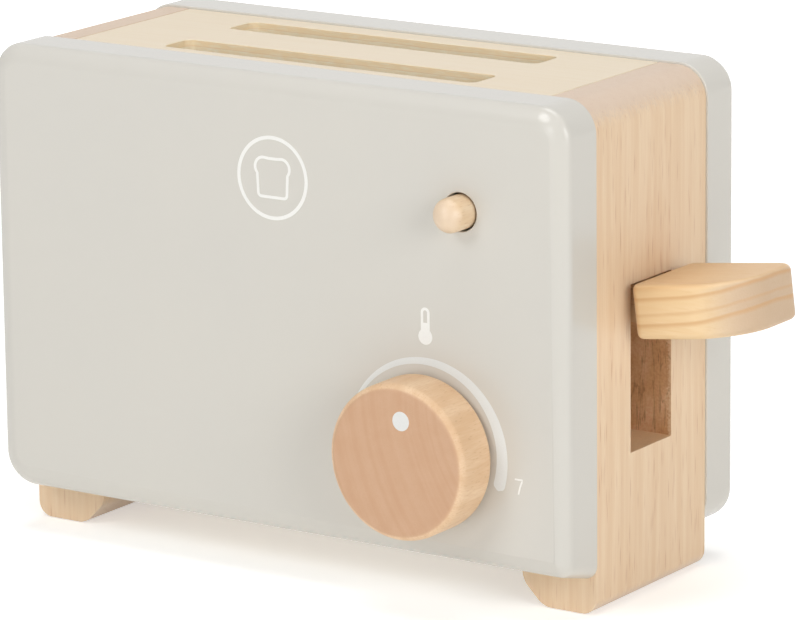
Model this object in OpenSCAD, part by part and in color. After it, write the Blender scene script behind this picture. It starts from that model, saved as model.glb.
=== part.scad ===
// Wooden toy toaster with a sprung lift, a lever, a push button and a turning knob.
// Millimetres, +Z up. X runs along the front with the lever at +X, and the front looks to -Y.
// The pieces are laid out round the middle of the body at floor level. placed() then moves them,
// so that the origin lies under the centre of the whole toaster's box.

/* [Panels] */
// Width of the front and back panels
panel_w = 184; // [170:1:210]
// Height of the panels
panel_h = 127; // [120:1:140]
// Thickness of the panels
panel_t = 15; // [12:0.5:20]
// Height of the panels' lower edge above the floor
panel_lift = 9.7; // [8:0.1:12]
// Corner radius of the panels
panel_corner_r = 9; // [6:0.5:14]
// Radius of the front panel's lower right corner, which is rounded less
panel_tight_r = 5; // [4:0.5:9]
// Roundover on the outer face of the panels
panel_edge_r = 3.5; // [1:0.5:4]
// Height of the slope under the panels, from their inner edge up to the outer face
panel_slope_h = 5.5; // [2:0.5:8]

/* [End blocks] */
// Distance between the panels
body_depth = 55.4; // [50:0.2:64]
// Width of each end block
block_w = 22.65; // [20:0.05:26]
// Inset of the blocks from the panels' sides
block_inset = 0.65; // [0.2:0.05:2]
// Drop of the blocks and the top plate below the panels' upper edge
block_drop = 0.7; // [0.2:0.1:2]
// Slope at the inner side of each foot
foot_chamfer = 6.5; // [3:0.5:8]
// Rounding of the front and back edges of each foot
foot_edge_r = 5; // [2:0.5:7]

/* [Top plate] */
// Thickness of the plywood top plate
top_t = 12; // [9:0.5:15]
// Width of the step in each block that carries the top plate
top_seat_w = 8.2; // [5:0.1:12]
// Length of a bread slot
bread_slot_l = 98; // [80:1:108]
// Width of a bread slot
bread_slot_w = 12; // [8:0.5:14]
// Distance between the middles of the two bread slots
bread_slot_pitch = 30; // [28:0.5:34]

/* [Base] */
// Thickness of the bottom plate
base_t = 6; // [5:0.5:8]
// Recess of the bottom plate above the panels' lower edge
base_recess = 1; // [0:0.2:3]
// Width and height of the battens along the panels
batten_w = 10; // [8:0.5:12]
// Gap between the battens' ends and the end blocks
batten_end_gap = 2.7; // [0.5:0.1:6]
// Distance between the base screws along the battens
base_screw_span = 100; // [60:1:110]

/* [Dowels] */
// Diameter of the dowels between the panels and the blocks
dowel_d = 6; // [5:0.5:8]
// Depth of a dowel in a panel
dowel_in_panel = 9; // [6:0.5:10]
// Depth of a dowel in a block
dowel_in_block = 12; // [8:0.5:14]
// Distance of the dowels from the inner sides of the blocks
dowel_inset = 11.3; // [9:0.1:14]
// Distance of the outer dowels from the upper and lower ends of the blocks
dowel_margin = 24; // [18:1:30]
// Dowels in each side of a block
dowel_rows = 3; // [2:1:4]

/* [Lever slot] */
// Width of the lever slot
lever_slot_w = 20.4; // [18:0.2:24]
// Lower end of the lever slot above the floor
lever_slot_low = 40; // [36:0.5:41]
// Upper end of the lever slot above the floor
lever_slot_high = 85; // [84:0.5:88]
// Corner radius of the lever slot
lever_slot_r = 3; // [1:0.5:6]

/* [Lever] */
// Length of the handle
handle_l = 31.6; // [28:0.1:40]
// Width of the handle
handle_w = 31; // [26:0.5:36]
// Thickness of the handle
handle_t = 14; // [13:0.5:16]
// Upward tilt of the handle's outer end, in degrees
handle_tilt = 7; // [4:0.5:8]
// Gap between the handle and the end block
handle_gap = 3.15; // [2:0.05:5]
// Height of the handle's upper inner edge above the lever slot's end
handle_rise = 1.1; // [0:0.1:2]
// Sideways offset of the handle from the slot's middle
handle_offset = 0.5; // [0:0.1:2]
// Radius of the handle's two inner corners
handle_inner_r = 5.5; // [4:0.5:8]
// Radius of the handle's outer front corner
handle_front_r = 13; // [6:0.5:14]
// Radius of the handle's outer back corner
handle_back_r = 4.5; // [3:0.5:10]
// Roundover of the handle's edges
handle_edge_r = 2.5; // [1:0.5:3]
// Width of the arm that passes through the slot
arm_w = 15; // [10:0.5:17]
// Height of the arm
arm_h = 10; // [8:0.5:11]
// Width of the arm's tenon in the handle
tenon_w = 11; // [8:0.5:14]
// Height of the tenon
tenon_h = 7; // [5:0.5:7.5]
// Length of the tenon in the handle
tenon_l = 13; // [8:0.5:18]
// Depth of the arm in the slide block
arm_seat = 7.7; // [5:0.1:8]

/* [Lift] */
// Travel of the lift
lift_travel = 32; // [20:0.5:33]
// Diameter of the guide rods
rod_d = 6; // [5:0.5:7]
// Depth of the guide rods in the top plate
rod_in_top = 7; // [4:0.5:8]
// Depth of the guide rods in the bottom plate
rod_in_base = 4; // [2:0.5:4.5]
// Height of the slide blocks
slide_h = 18; // [17:0.5:22]
// Wood under the arm in the right slide block
slide_under = 4.4; // [3:0.1:6]
// Width of the slide blocks' necks beside the guide rods
slide_neck_w = 20.4; // [19:0.2:21]
// Length of a slide block from its guide rod towards the middle
slide_in = 8; // [6:0.5:12]
// Wood beside the bread rails in the slide blocks
slide_lip = 2; // [1.5:0.5:3]
// Wood outside the guide rod in the left slide block
slide_end = 8; // [6:0.5:12]
// Width of a bread rail
rail_w = 9; // [6:0.5:10]
// Height of a bread rail
rail_h = 8; // [6:0.5:10]
// Width of the groove in a bread rail
groove_w = 5; // [3:0.5:6]
// Depth of that groove
groove_h = 1.5; // [0.5:0.5:3]
// Thickness of the brake strip
strip_t = 4.7; // [3:0.1:7]
// Diameter of the pin that holds the arm
arm_pin_d = 4; // [3:0.5:5]
// Wire of the lift springs
lift_wire = 1; // [0.8:0.1:1.4]
// Mean radius of the lift springs
lift_coil_r = 4.9; // [4.6:0.1:6]
// Curls in a lift spring
lift_curls = 12; // [8:1:14]

/* [Button] */
// Distance of the button's middle from the right end block
button_inset = 8.9; // [8:0.1:10]
// Depth of the button's middle below the top plate
button_drop = 17.1; // [14:0.1:20]
// Diameter of the button
button_d = 9.2; // [8:0.2:11]
// Length of the button in front of the panel
button_out = 8.5; // [7:0.5:12]
// Height of the button's domed end
button_dome = 3.5; // [2:0.5:4]
// Travel of the button
button_travel = 6; // [3:0.5:7]
// Depth of the stem in the button
stem_seat = 10; // [6:0.5:14]
// Diameter of the stem
stem_d = 5; // [4:0.5:5]
// Diameter of the collar that stops the button
collar_d = 15; // [13:0.5:17]
// Thickness of the collar
collar_t = 3; // [2:0.5:4]
// Thickness of the stem's guide block
guide_t = 9.5; // [6:0.5:10]
// Wood of the guide block below and beside the stem
guide_wall = 4.5; // [3:0.5:5]
// Wire of the button spring
button_wire = 0.7; // [0.5:0.1:0.9]
// Mean radius of the button spring
button_coil_r = 4.4; // [3.8:0.1:5]
// Curls in the button spring
button_curls = 4; // [3:1:5]
// Thickness of the brake plate
brake_t = 4; // [3:0.5:5]
// Wood of the brake plate beside and above the stem
brake_wall = 1.3; // [1:0.1:2]
// Thickness of the brake pad
pad_t = 2; // [1:0.5:2.5]
// Height of the brake pad
pad_h = 16; // [8:0.5:16]

/* [Knob] */
// Distance of the knob's middle from the right end block's inner side
knob_inset = 19.7; // [14:0.1:24]
// Height of the knob's middle
knob_z = 42; // [38:0.5:46]
// Diameter of the knob
knob_d = 42; // [34:0.5:46]
// Thickness of the knob
knob_t = 14.6; // [10:0.2:18]
// Rounding of the knob's edges
knob_edge_r = 1.5; // [0.5:0.5:3]
// Diameter of the knob's axle
axle_d = 8; // [6:0.5:10]
// Depth of the axle in the knob
axle_seat = 9; // [6:0.5:9]
// Diameter of the washer that holds the knob
washer_d = 18; // [14:0.5:22]
// Thickness of the washer
washer_t = 1.2; // [0.8:0.1:1.5]

/* [Screws] */
// Shank diameter of the screws
screw_d = 3; // [2.5:0.5:3.5]
// Head diameter of the screws
screw_head_d = 6; // [5:0.5:7]
// Height of a screw's head
screw_head_h = 1.8; // [1.5:0.1:2]
// Length of a base screw
base_screw_l = 13; // [11:0.5:14]
// Length of the knob's screw
knob_screw_l = 14; // [10:0.5:18]
// Length of the handle's screw
handle_screw_l = 8; // [6:0.5:8.5]

/* [Clearances] */
// Radial gap round a glued dowel, rod or stem
glue_gap = 0.05; // [0.02:0.01:0.08]
// Radial gap of a piece that turns or slides on a rod
run_gap = 0.08; // [0.03:0.01:0.1]
// Radial gap between the button and its hole in the panel
button_gap = 0.5; // [0.3:0.1:0.8]
// Gap between faces that move past each other
face_gap = 0.3; // [0.2:0.1:0.5]
// Gap beside the plates and round the tenons
plate_gap = 0.1; // [0.05:0.05:0.2]
// Gap between the lift and what stands still beside or above it
lift_gap = 0.6; // [0.4:0.1:0.8]
// Play of the right slide block beside the end block
side_gap = 1; // [0.8:0.1:1.5]
// Gap between the brake plate and the pieces of the lift beside it
brake_gap = 0.5; // [0.3:0.1:0.8]
// Gap between the brake strip and the button's stem
stem_gap = 0.7; // [0.4:0.1:1.2]
// Gap between the guide block and the guide rod
guide_gap = 1.5; // [0.5:0.1:2]

/* [Hidden] */
$fn = 96;

// How far a cutting shape reaches past the face that it cuts
over = 1;
// Sides of a spring's wire, and rings along one of its curls
wire_sides = 6;
curl_rings = 8;

// Levels and sides of the body
inner_y = body_depth / 2;
outer_y = inner_y + panel_t;
block_x1 = panel_w / 2 - block_inset;
block_x0 = block_x1 - block_w;
block_top = panel_lift + panel_h - block_drop;
top_under = block_top - top_t;
top_x = block_x0 + top_seat_w;
base_z = panel_lift + base_recess;
base_top = base_z + base_t;
batten_z = base_top + batten_w;
batten_y = inner_y - batten_w / 2;
batten_x = block_x0 - batten_end_gap;
dowel_x = block_x0 + dowel_inset;
button_x = block_x0 - button_inset;
button_z = top_under - button_drop;
knob_x = block_x0 - knob_inset;

// The lever's arm, and the lift that it carries
arm_z = lever_slot_high - lift_gap - arm_h;
slide_z = arm_z - slide_under;
slide_top = slide_z + slide_h;
rail_y = bread_slot_pitch / 2;
slide_y = rail_y + rail_w / 2 + slide_lip;
neck_y = slide_neck_w / 2;
neck_x = block_x0 - side_gap;
strip_top = top_under - lift_gap;
strip_x = button_x + stem_d / 2 + stem_gap;
brake_x0 = button_x - stem_d / 2 - brake_wall;
brake_x1 = neck_x - brake_gap;
slide_x1 = brake_x0 - brake_gap;
rod_x = slide_x1 - rod_d / 2 - brake_gap;
slide_x0 = rod_x - slide_in;
arm_x = neck_x - arm_seat;
arm_pin_x = neck_x - arm_seat / 2;

// The handle, hung at its upper inner edge
handle_x = block_x1 + handle_gap;
handle_z = lever_slot_high + handle_rise;
tenon_z = arm_z + (arm_h - tenon_h) / 2;
handle_screw_x = handle_x + tenon_l / 2;
handle_out_x = handle_x + (handle_l - handle_edge_r) * cos(handle_tilt)
    + (handle_t - handle_edge_r) * sin(handle_tilt) + handle_edge_r;
handle_under_z = handle_z - handle_t / cos(handle_tilt)
    + (handle_screw_x - handle_x) * tan(handle_tilt);

// The button's stops, its spring and the brake behind the lift
collar_y = -inner_y + face_gap;
collar_back = collar_y + collar_t;
guide_back = -rod_d / 2 - guide_gap;
guide_front = guide_back - guide_t;
pad_y = neck_y + face_gap;
brake_y = pad_y + pad_t;
pad_z = slide_top - lift_travel + (slide_h - pad_h);
brake_top = button_z + stem_d / 2 + brake_wall;

// The knob and its axle
knob_back = -outer_y - face_gap;
knob_front = knob_back - knob_t;
axle_end = -inner_y + face_gap;

// Middle of the whole toaster's box
centre_x = (handle_out_x - panel_w / 2) / 2;
front_y = min(knob_front, -outer_y - button_out);
centre_y = (outer_y + front_y) / 2;

// Moves the pieces from the middle of the body to the middle of the box
module placed() {
    translate([-centre_x, -centre_y, 0]) children();
}

// Turns a shape that points up towards the back, or towards the front
module towards_back() {
    rotate([-90, 0, 0]) children();
}
module towards_front() {
    rotate([90, 0, 0]) children();
}

// ---- Shapes that repeat ----

// Half section of a board's edge: r wide, t thick, with its upper corner rounded by e,
// and its lower corner by e_low
module edge_section(r, t, e, e_low) {
    difference() {
        square([r, t]);
        translate([r - e, t - e]) corner_waste(e);
        if (e_low > 0) translate([r - e_low, e_low]) mirror([0, 1]) corner_waste(e_low);
    }
}

// What a rounding by r takes off a corner, from the rounding's centre
module corner_waste(r) {
    difference() {
        square(r + over);
        circle(r);
    }
}

// Straight edge of a board, along X, with its rounded side towards +Y
module edge_strip(l, r, t, e, e_low) {
    rotate([90, 0, 90]) linear_extrude(l) edge_section(r, t, e, e_low);
}

// Both halves of a board's upper side, at the height reach, as far as right and as left
module side_strips(reach, right, left, r, t, e, e_low) {
    translate([0, reach - r]) {
        edge_strip(right, r, t, e, e_low);
        mirror([1, 0]) edge_strip(left, r, t, e, e_low);
    }
}

// Board from Z = 0 to t, its middle on the Z axis, with a radius for each corner (lower left,
// lower right, upper right, upper left), its upper face's edge rounded by e and the lower face's
// by e_low. Corners and half sides meet face to face, and the core reaches a little into them.
module board(w, h, t, radii, e, e_low = 0) {
    d = min(radii);
    x = w / 2;
    y = h / 2;
    turns = [180, 270, 0, 90];
    centres = [
        [radii[0] - x, radii[0] - y], [x - radii[1], radii[1] - y],
        [x - radii[2], y - radii[2]], [radii[3] - x, y - radii[3]],
    ];
    for (i = [0:3]) {
        translate(centres[i]) rotate(turns[i]) rotate_extrude(angle = 90)
            edge_section(radii[i], t, e, e_low);
    }
    side_strips(y, centres[2].x, -centres[3].x, d, t, e, e_low);
    mirror([0, 1]) side_strips(y, centres[1].x, -centres[0].x, d, t, e, e_low);
    rotate(-90) side_strips(x, -centres[1].y, centres[2].y, d, t, e, e_low);
    mirror([1, 0]) rotate(-90) side_strips(x, -centres[0].y, centres[3].y, d, t, e, e_low);
    grip = (d - max(e, e_low)) / 2;
    core_x = x - d + grip;
    core_y = y - d + grip;
    out = [for (c = centres) c + grip / 2 * [sign(c.x), sign(c.y)]];
    linear_extrude(t) polygon([
        [centres[0].x, -core_y], [centres[1].x, -core_y], out[1], [core_x, centres[1].y],
        [core_x, centres[2].y], out[2], [centres[2].x, core_y], [centres[3].x, core_y],
        out[3], [-core_x, centres[3].y], [-core_x, centres[0].y], out[0],
    ]);
}

// Slot in plan, l long and w wide over its round ends
module round_slot(l, w) {
    square([l - w, w], center = true);
    for (side = [-1, 1]) translate([side * (l - w) / 2, 0]) circle(d = w);
}

// Round pin from Z = 0 to l
module pin(d, l) {
    cylinder(d = d, h = l);
}

// Countersunk screw with its head's face at Z = 0 and its shank pointing up
module sunk_screw(l) {
    cylinder(d1 = screw_head_d, d2 = screw_d, h = screw_head_h);
    pin(screw_d, l);
}

// Points along a spring of n curls, with straight ends one wire thick
function coil_path(r, l, n, wire) =
    let (steps = n * curl_rings, rise = (l - 2 * wire) / steps)
    concat(
        [[r, 0, 0]],
        [for (i = [0:steps]) let (a = 360 * i / curl_rings) [r * cos(a), r * sin(a), wire + rise * i]],
        [[r, 0, l]]
    );

// Way along a path at its point i
function way(path, i) =
    let (d = path[min(i + 1, len(path) - 1)] - path[max(i - 1, 0)]) d / norm(d);

// Least distance between the surfaces of a spring's neighbouring curls
function curl_gap(path, wire) =
    min([for (i = [1:len(path) - 2 - curl_rings]) norm(path[i + curl_rings] - path[i])]) - wire;

// Compression spring, standing on Z = 0, as one unbroken wire
module spring(r, l, n, wire) {
    path = coil_path(r, l, n, wire);
    rings = len(path);
    s = wire_sides;
    points = [
        for (i = [0:rings - 1])
            let (out = [path[i].x, path[i].y, 0] / r, up = cross(out, way(path, i)))
                for (k = [0:s - 1]) path[i] + wire / 2 * (out * cos(360 * k / s) + up * sin(360 * k / s))
    ];
    walls = [
        for (i = [0:rings - 2]) for (k = [0:s - 1])
            let (a = i * s + k, b = i * s + (k + 1) % s)
                each [[a, b, a + s], [b, b + s, a + s]]
    ];
    ends = [
        for (k = [1:s - 2]) each [
            [0, k + 1, k], [(rings - 1) * s, (rings - 1) * s + k, (rings - 1) * s + k + 1]
        ]
    ];
    polyhedron(points = points, faces = concat(walls, ends));
}

// Heights of the dowels
dowel_heights = [
    for (i = [0:dowel_rows - 1]) dowel_margin + i * (block_top - 2 * dowel_margin) / (dowel_rows - 1)
];

// Places of the dowels on one panel's inner face
module at_dowels() {
    for (side = [-1, 1], z = dowel_heights) translate([side * dowel_x, 0, z]) children();
}

// ---- Box ----

// Panel with its inner face on Y = 0 and its outer face towards -Y
module panel_blank(radii) {
    difference() {
        translate([0, 0, panel_lift + panel_h / 2]) towards_front()
            board(panel_w, panel_h, panel_t, radii, panel_edge_r);
        translate([-panel_w / 2 - over, 0, panel_lift]) rotate([90, 0, 90])
            linear_extrude(panel_w + 2 * over) polygon([
                [0, 0], [-panel_t, panel_slope_h], [-panel_t - over, panel_slope_h],
                [-panel_t - over, -over], [0, -over],
            ]);
        at_dowels() translate([0, over, 0]) towards_front() pin(dowel_d, dowel_in_panel + over);
    }
}

module front_panel() {
    color("gainsboro") translate([0, -inner_y, 0]) difference() {
        panel_blank([panel_corner_r, panel_tight_r, panel_corner_r, panel_corner_r]);
        translate([button_x, over, button_z]) towards_front()
            pin(button_d + 2 * button_gap, panel_t + 2 * over);
        translate([knob_x, over, knob_z]) towards_front() pin(axle_d + 2 * run_gap, panel_t + 2 * over);
    }
}

module back_panel() {
    color("gainsboro") translate([0, inner_y, 0]) mirror([0, 1, 0])
        panel_blank([for (corner = [0:3]) panel_corner_r]);
}

// End block at +X: its side outline, rounded under its front and back edges
module end_block() {
    top_r = panel_corner_r - block_inset;
    difference() {
        translate([0, inner_y, 0]) towards_front() linear_extrude(body_depth) difference() {
            translate([block_x0, 0]) square([block_w, block_top]);
            translate([block_x0 - over, top_under]) square([top_seat_w + over, top_t + over]);
            polygon([
                [block_x0, foot_chamfer], [block_x0 + foot_chamfer, 0], [block_x0 + foot_chamfer, -over],
                [block_x0 - over, -over], [block_x0 - over, foot_chamfer],
            ]);
            translate([block_x1 - top_r, block_top - top_r]) corner_waste(top_r);
        }
        for (side = [-1, 1]) {
            translate([block_x0 - over, side * (inner_y - foot_edge_r), foot_edge_r])
                rotate([90, 0, 90]) linear_extrude(block_w + 2 * over)
                    mirror([(1 - side) / 2, 0]) mirror([0, 1]) corner_waste(foot_edge_r);
            for (z = dowel_heights) {
                translate([dowel_x, side * (inner_y + over), z]) rotate([side * 90, 0, 0])
                    pin(dowel_d, dowel_in_block + over);
            }
        }
    }
}

module left_end_block() {
    color("burlywood") mirror([1, 0, 0]) end_block();
}

module right_end_block() {
    h = lever_slot_high - lever_slot_low;
    color("burlywood") difference() {
        end_block();
        translate([block_x0 - over, 0, lever_slot_low + h / 2]) rotate([90, 0, 90])
            linear_extrude(block_w + 2 * over) {
                square([lever_slot_w - 2 * lever_slot_r, h], center = true);
                square([lever_slot_w, h - 2 * lever_slot_r], center = true);
                for (a = [-1, 1], b = [-1, 1]) {
                    translate([a * (lever_slot_w / 2 - lever_slot_r), b * (h / 2 - lever_slot_r)])
                        circle(lever_slot_r);
                }
            }
    }
}

module top_plate() {
    w = 2 * (top_x - plate_gap);
    color("wheat") difference() {
        translate([0, 0, top_under]) linear_extrude(top_t) difference() {
            square([w, body_depth], center = true);
            for (side = [-1, 1]) translate([0, side * rail_y]) round_slot(bread_slot_l, bread_slot_w);
        }
        for (side = [-1, 1]) {
            translate([side * rod_x, 0, top_under - over]) pin(rod_d + 2 * glue_gap, rod_in_top + over);
        }
    }
}

// Places of the screws that hold the bottom plate
module at_base_screws() {
    for (a = [-1, 1], b = [-1, 1]) {
        translate([a * base_screw_span / 2, b * batten_y, base_z]) children();
    }
}

module bottom_plate() {
    w = 2 * (block_x0 - plate_gap);
    d = body_depth - 2 * plate_gap;
    color("wheat") difference() {
        translate([-w / 2, -d / 2, base_z]) cube([w, d, base_t]);
        for (side = [-1, 1]) {
            translate([side * rod_x, 0, base_top - rod_in_base])
                pin(rod_d + 2 * glue_gap, rod_in_base + over);
        }
        at_base_screws() sunk_screw(base_t + over);
    }
}

// Batten glued along a panel's inner face, on the side that is given
module batten(side) {
    color("burlywood") difference() {
        translate([-batten_x, side * batten_y - batten_w / 2, base_top])
            cube([2 * batten_x, batten_w, batten_w]);
        at_base_screws() pin(screw_d, base_screw_l);
    }
}

module front_batten() {
    batten(-1);
}

module back_batten() {
    batten(1);
}

module base_screws() {
    color("silver") at_base_screws() sunk_screw(base_screw_l);
}

// Dowels between the blocks and one panel, on the side that is given
module panel_dowels(side) {
    l = dowel_in_panel + dowel_in_block;
    color("tan") translate([0, side * (inner_y - dowel_in_block), 0]) at_dowels()
        rotate([-side * 90, 0, 0]) pin(dowel_d - 2 * glue_gap, l);
}

module front_dowels() {
    panel_dowels(-1);
}

module back_dowels() {
    panel_dowels(1);
}

module guide_rods() {
    z = base_top - rod_in_base;
    color("silver") for (side = [-1, 1]) {
        translate([side * rod_x, 0, z]) pin(rod_d, top_under + rod_in_top - z);
    }
}

module lift_springs() {
    l = slide_z - base_top - face_gap;
    echo(lift_spring_gap = curl_gap(coil_path(lift_coil_r, l, lift_curls, lift_wire), lift_wire));
    color("silver") for (side = [-1, 1]) {
        translate([side * rod_x, 0, base_top]) spring(lift_coil_r, l, lift_curls, lift_wire);
    }
}

// ---- Lift and lever ----

// Slide block at +X that reaches to x1: a crosspiece under the rails and a neck at the guide rod
module slide_block(x1) {
    difference() {
        union() {
            translate([slide_x0, -slide_y, slide_z]) cube([slide_x1 - slide_x0, 2 * slide_y, slide_h]);
            translate([slide_x1, -neck_y, slide_z]) cube([x1 - slide_x1, slide_neck_w, slide_h]);
        }
        for (side = [-1, 1]) {
            translate([slide_x0 - over, side * rail_y - rail_w / 2, slide_top - rail_h])
                cube([slide_x1 - slide_x0 + 2 * over, rail_w, rail_h + over]);
        }
        translate([rod_x, 0, slide_z - over]) pin(rod_d + 2 * run_gap, slide_h + 2 * over);
    }
}

module left_slide_block() {
    color("burlywood") mirror([1, 0, 0]) slide_block(rod_x + slide_end);
}

module right_slide_block() {
    color("burlywood") difference() {
        slide_block(neck_x);
        translate([arm_x, -arm_w / 2 - plate_gap, arm_z - plate_gap])
            cube([arm_seat + over, arm_w + 2 * plate_gap, arm_h + 2 * plate_gap]);
        translate([arm_pin_x, 0, slide_z - over]) pin(arm_pin_d + 2 * glue_gap, slide_h + 2 * over);
    }
}

// Rail under one bread slot, with a shallow groove that the bread stands in
module bread_rail(side) {
    color("wheat") difference() {
        translate([-slide_x1, side * rail_y - rail_w / 2, slide_top - rail_h])
            cube([2 * slide_x1, rail_w, rail_h]);
        translate([-slide_x0, side * rail_y - groove_w / 2, slide_top - groove_h])
            cube([2 * slide_x0, groove_w, groove_h + over]);
    }
}

module front_bread_rail() {
    bread_rail(-1);
}

module back_bread_rail() {
    bread_rail(1);
}

module lever_arm() {
    shoulder_x = handle_x - face_gap;
    tenon_end = handle_x + tenon_l;
    color("burlywood") difference() {
        union() {
            translate([arm_x, -arm_w / 2, arm_z]) cube([shoulder_x - arm_x, arm_w, arm_h]);
            translate([shoulder_x, -tenon_w / 2, tenon_z]) cube([tenon_end - shoulder_x, tenon_w, tenon_h]);
        }
        translate([arm_pin_x, 0, arm_z - over]) pin(arm_pin_d + 2 * glue_gap, arm_h + 2 * over);
        translate([handle_screw_x, 0, handle_under_z]) pin(screw_d, handle_screw_l);
    }
}

module arm_pin() {
    color("tan") translate([arm_pin_x, 0, slide_z]) pin(arm_pin_d, slide_h);
}

module lever_handle() {
    radii = [handle_inner_r, handle_front_r, handle_back_r, handle_inner_r];
    color("moccasin") difference() {
        translate([handle_x, handle_offset, handle_z]) rotate([0, -handle_tilt, 0])
            translate([handle_l / 2, 0, -handle_t])
                board(handle_l, handle_w, handle_t, radii, handle_edge_r, handle_edge_r);
        translate([handle_x - over, -tenon_w / 2 - plate_gap, tenon_z - plate_gap])
            cube([over + tenon_l + plate_gap, tenon_w + 2 * plate_gap, tenon_h + 2 * plate_gap]);
        translate([handle_screw_x, 0, handle_under_z]) {
            pin(screw_d, handle_screw_l);
            sunk_screw(screw_head_h);
            translate([0, 0, -screw_head_h]) pin(screw_head_d, screw_head_h);
        }
    }
}

module handle_screw() {
    color("silver") translate([handle_screw_x, 0, handle_under_z]) sunk_screw(handle_screw_l);
}

// Strip on the right slide block, which the brake pad bears on while the lift moves
module brake_strip() {
    color("burlywood") translate([strip_x, neck_y - strip_t, slide_top])
        cube([neck_x - strip_x, strip_t, strip_top - slide_top]);
}

// ---- Button and brake ----

module button() {
    r = button_d / 2;
    l = button_out - button_dome + outer_y + collar_back;
    dome_r = (r * r + button_dome * button_dome) / (2 * button_dome);
    color("wheat") translate([button_x, collar_back, button_z]) towards_front() difference() {
        union() {
            pin(button_d, l);
            translate([0, 0, l]) intersection() {
                pin(button_d, button_dome + over);
                translate([0, 0, button_dome - dome_r]) sphere(dome_r);
            }
        }
        translate([0, 0, -over]) pin(stem_d + 2 * glue_gap, stem_seat + over);
    }
}

module button_collar() {
    color("tan") translate([button_x, collar_y, button_z]) towards_back() difference() {
        pin(collar_d, collar_t);
        translate([0, 0, -over]) pin(button_d + 2 * glue_gap, collar_t + 2 * over);
    }
}

module button_stem() {
    y0 = collar_back - stem_seat;
    color("tan") translate([button_x, y0, button_z]) towards_back() pin(stem_d, brake_y + brake_t - y0);
}

// Block glued under the top plate, which guides the stem and backs the button's spring
module stem_guide() {
    half = stem_d / 2 + guide_wall;
    color("burlywood") difference() {
        translate([button_x - half, guide_front, button_z - half])
            cube([2 * half, guide_t, top_under - button_z + half]);
        translate([button_x, guide_front - over, button_z]) towards_back()
            pin(stem_d + 2 * run_gap, guide_t + 2 * over);
    }
}

module button_spring() {
    l = guide_front - collar_back - 2 * face_gap;
    echo(button_spring_gap = curl_gap(coil_path(button_coil_r, l, button_curls, button_wire), button_wire));
    color("silver") translate([button_x, collar_back + face_gap, button_z]) towards_back()
        spring(button_coil_r, l, button_curls, button_wire);
}

// Plate behind the lift, which the button's spring pulls forward and the button pushes back
module brake_plate() {
    color("wheat") difference() {
        translate([brake_x0, brake_y, pad_z]) cube([brake_x1 - brake_x0, brake_t, brake_top - pad_z]);
        translate([button_x, brake_y - over, button_z]) towards_back()
            pin(stem_d + 2 * glue_gap, brake_t + 2 * over);
    }
}

module brake_pad() {
    color("dimgray") translate([strip_x, pad_y, pad_z])
        cube([brake_x1 - strip_x, pad_t, pad_h]);
}

// ---- Knob ----

module knob() {
    r = knob_d / 2;
    color("burlywood") translate([knob_x, knob_back, knob_z]) towards_front() difference() {
        rotate_extrude() difference() {
            square([r, knob_t]);
            translate([r - knob_edge_r, knob_t - knob_edge_r]) corner_waste(knob_edge_r);
            translate([r - knob_edge_r, knob_edge_r]) mirror([0, 1]) corner_waste(knob_edge_r);
        }
        translate([0, 0, -over]) pin(axle_d + 2 * glue_gap, axle_seat + over);
    }
}

module knob_axle() {
    y0 = knob_back - axle_seat;
    color("tan") translate([knob_x, y0, knob_z]) towards_back() difference() {
        pin(axle_d, axle_end - y0);
        translate([0, 0, axle_end - y0 - knob_screw_l]) pin(screw_d, knob_screw_l + over);
    }
}

module knob_washer() {
    color("silver") translate([knob_x, axle_end, knob_z]) towards_back() difference() {
        pin(washer_d, washer_t);
        translate([0, 0, -over]) pin(screw_d + 2 * glue_gap, washer_t + 2 * over);
    }
}

module knob_screw() {
    color("silver") translate([knob_x, axle_end + washer_t, knob_z]) {
        towards_front() pin(screw_d, knob_screw_l);
        towards_back() pin(screw_head_d, screw_head_h);
    }
}

placed() front_panel();
placed() back_panel();
placed() left_end_block();
placed() right_end_block();
placed() top_plate();
placed() bottom_plate();
placed() front_batten();
placed() back_batten();
placed() base_screws();
placed() front_dowels();
placed() back_dowels();
placed() guide_rods();
placed() lift_springs();
placed() stem_guide();
placed() button_spring();
placed() left_slide_block();
placed() right_slide_block();
placed() front_bread_rail();
placed() back_bread_rail();
placed() lever_arm();
placed() arm_pin();
placed() lever_handle();
placed() handle_screw();
placed() brake_strip();
placed() button();
placed() button_collar();
placed() button_stem();
placed() brake_plate();
placed() brake_pad();
placed() knob();
placed() knob_axle();
placed() knob_washer();
placed() knob_screw();
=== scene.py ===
"""Looks of the wooden toy toaster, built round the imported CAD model.

Lengths in the classes are millimetres from the middle of the toaster's body, with X towards the
lever, -Y towards the front and Z up from the floor. place() turns them into the frame's metres.
"""

import logging
import math
from collections.abc import Callable, Sequence
from dataclasses import dataclass, field, replace
from enum import Enum
from typing import Any

import bmesh
import bpy
from mathutils import Matrix, Vector


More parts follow.
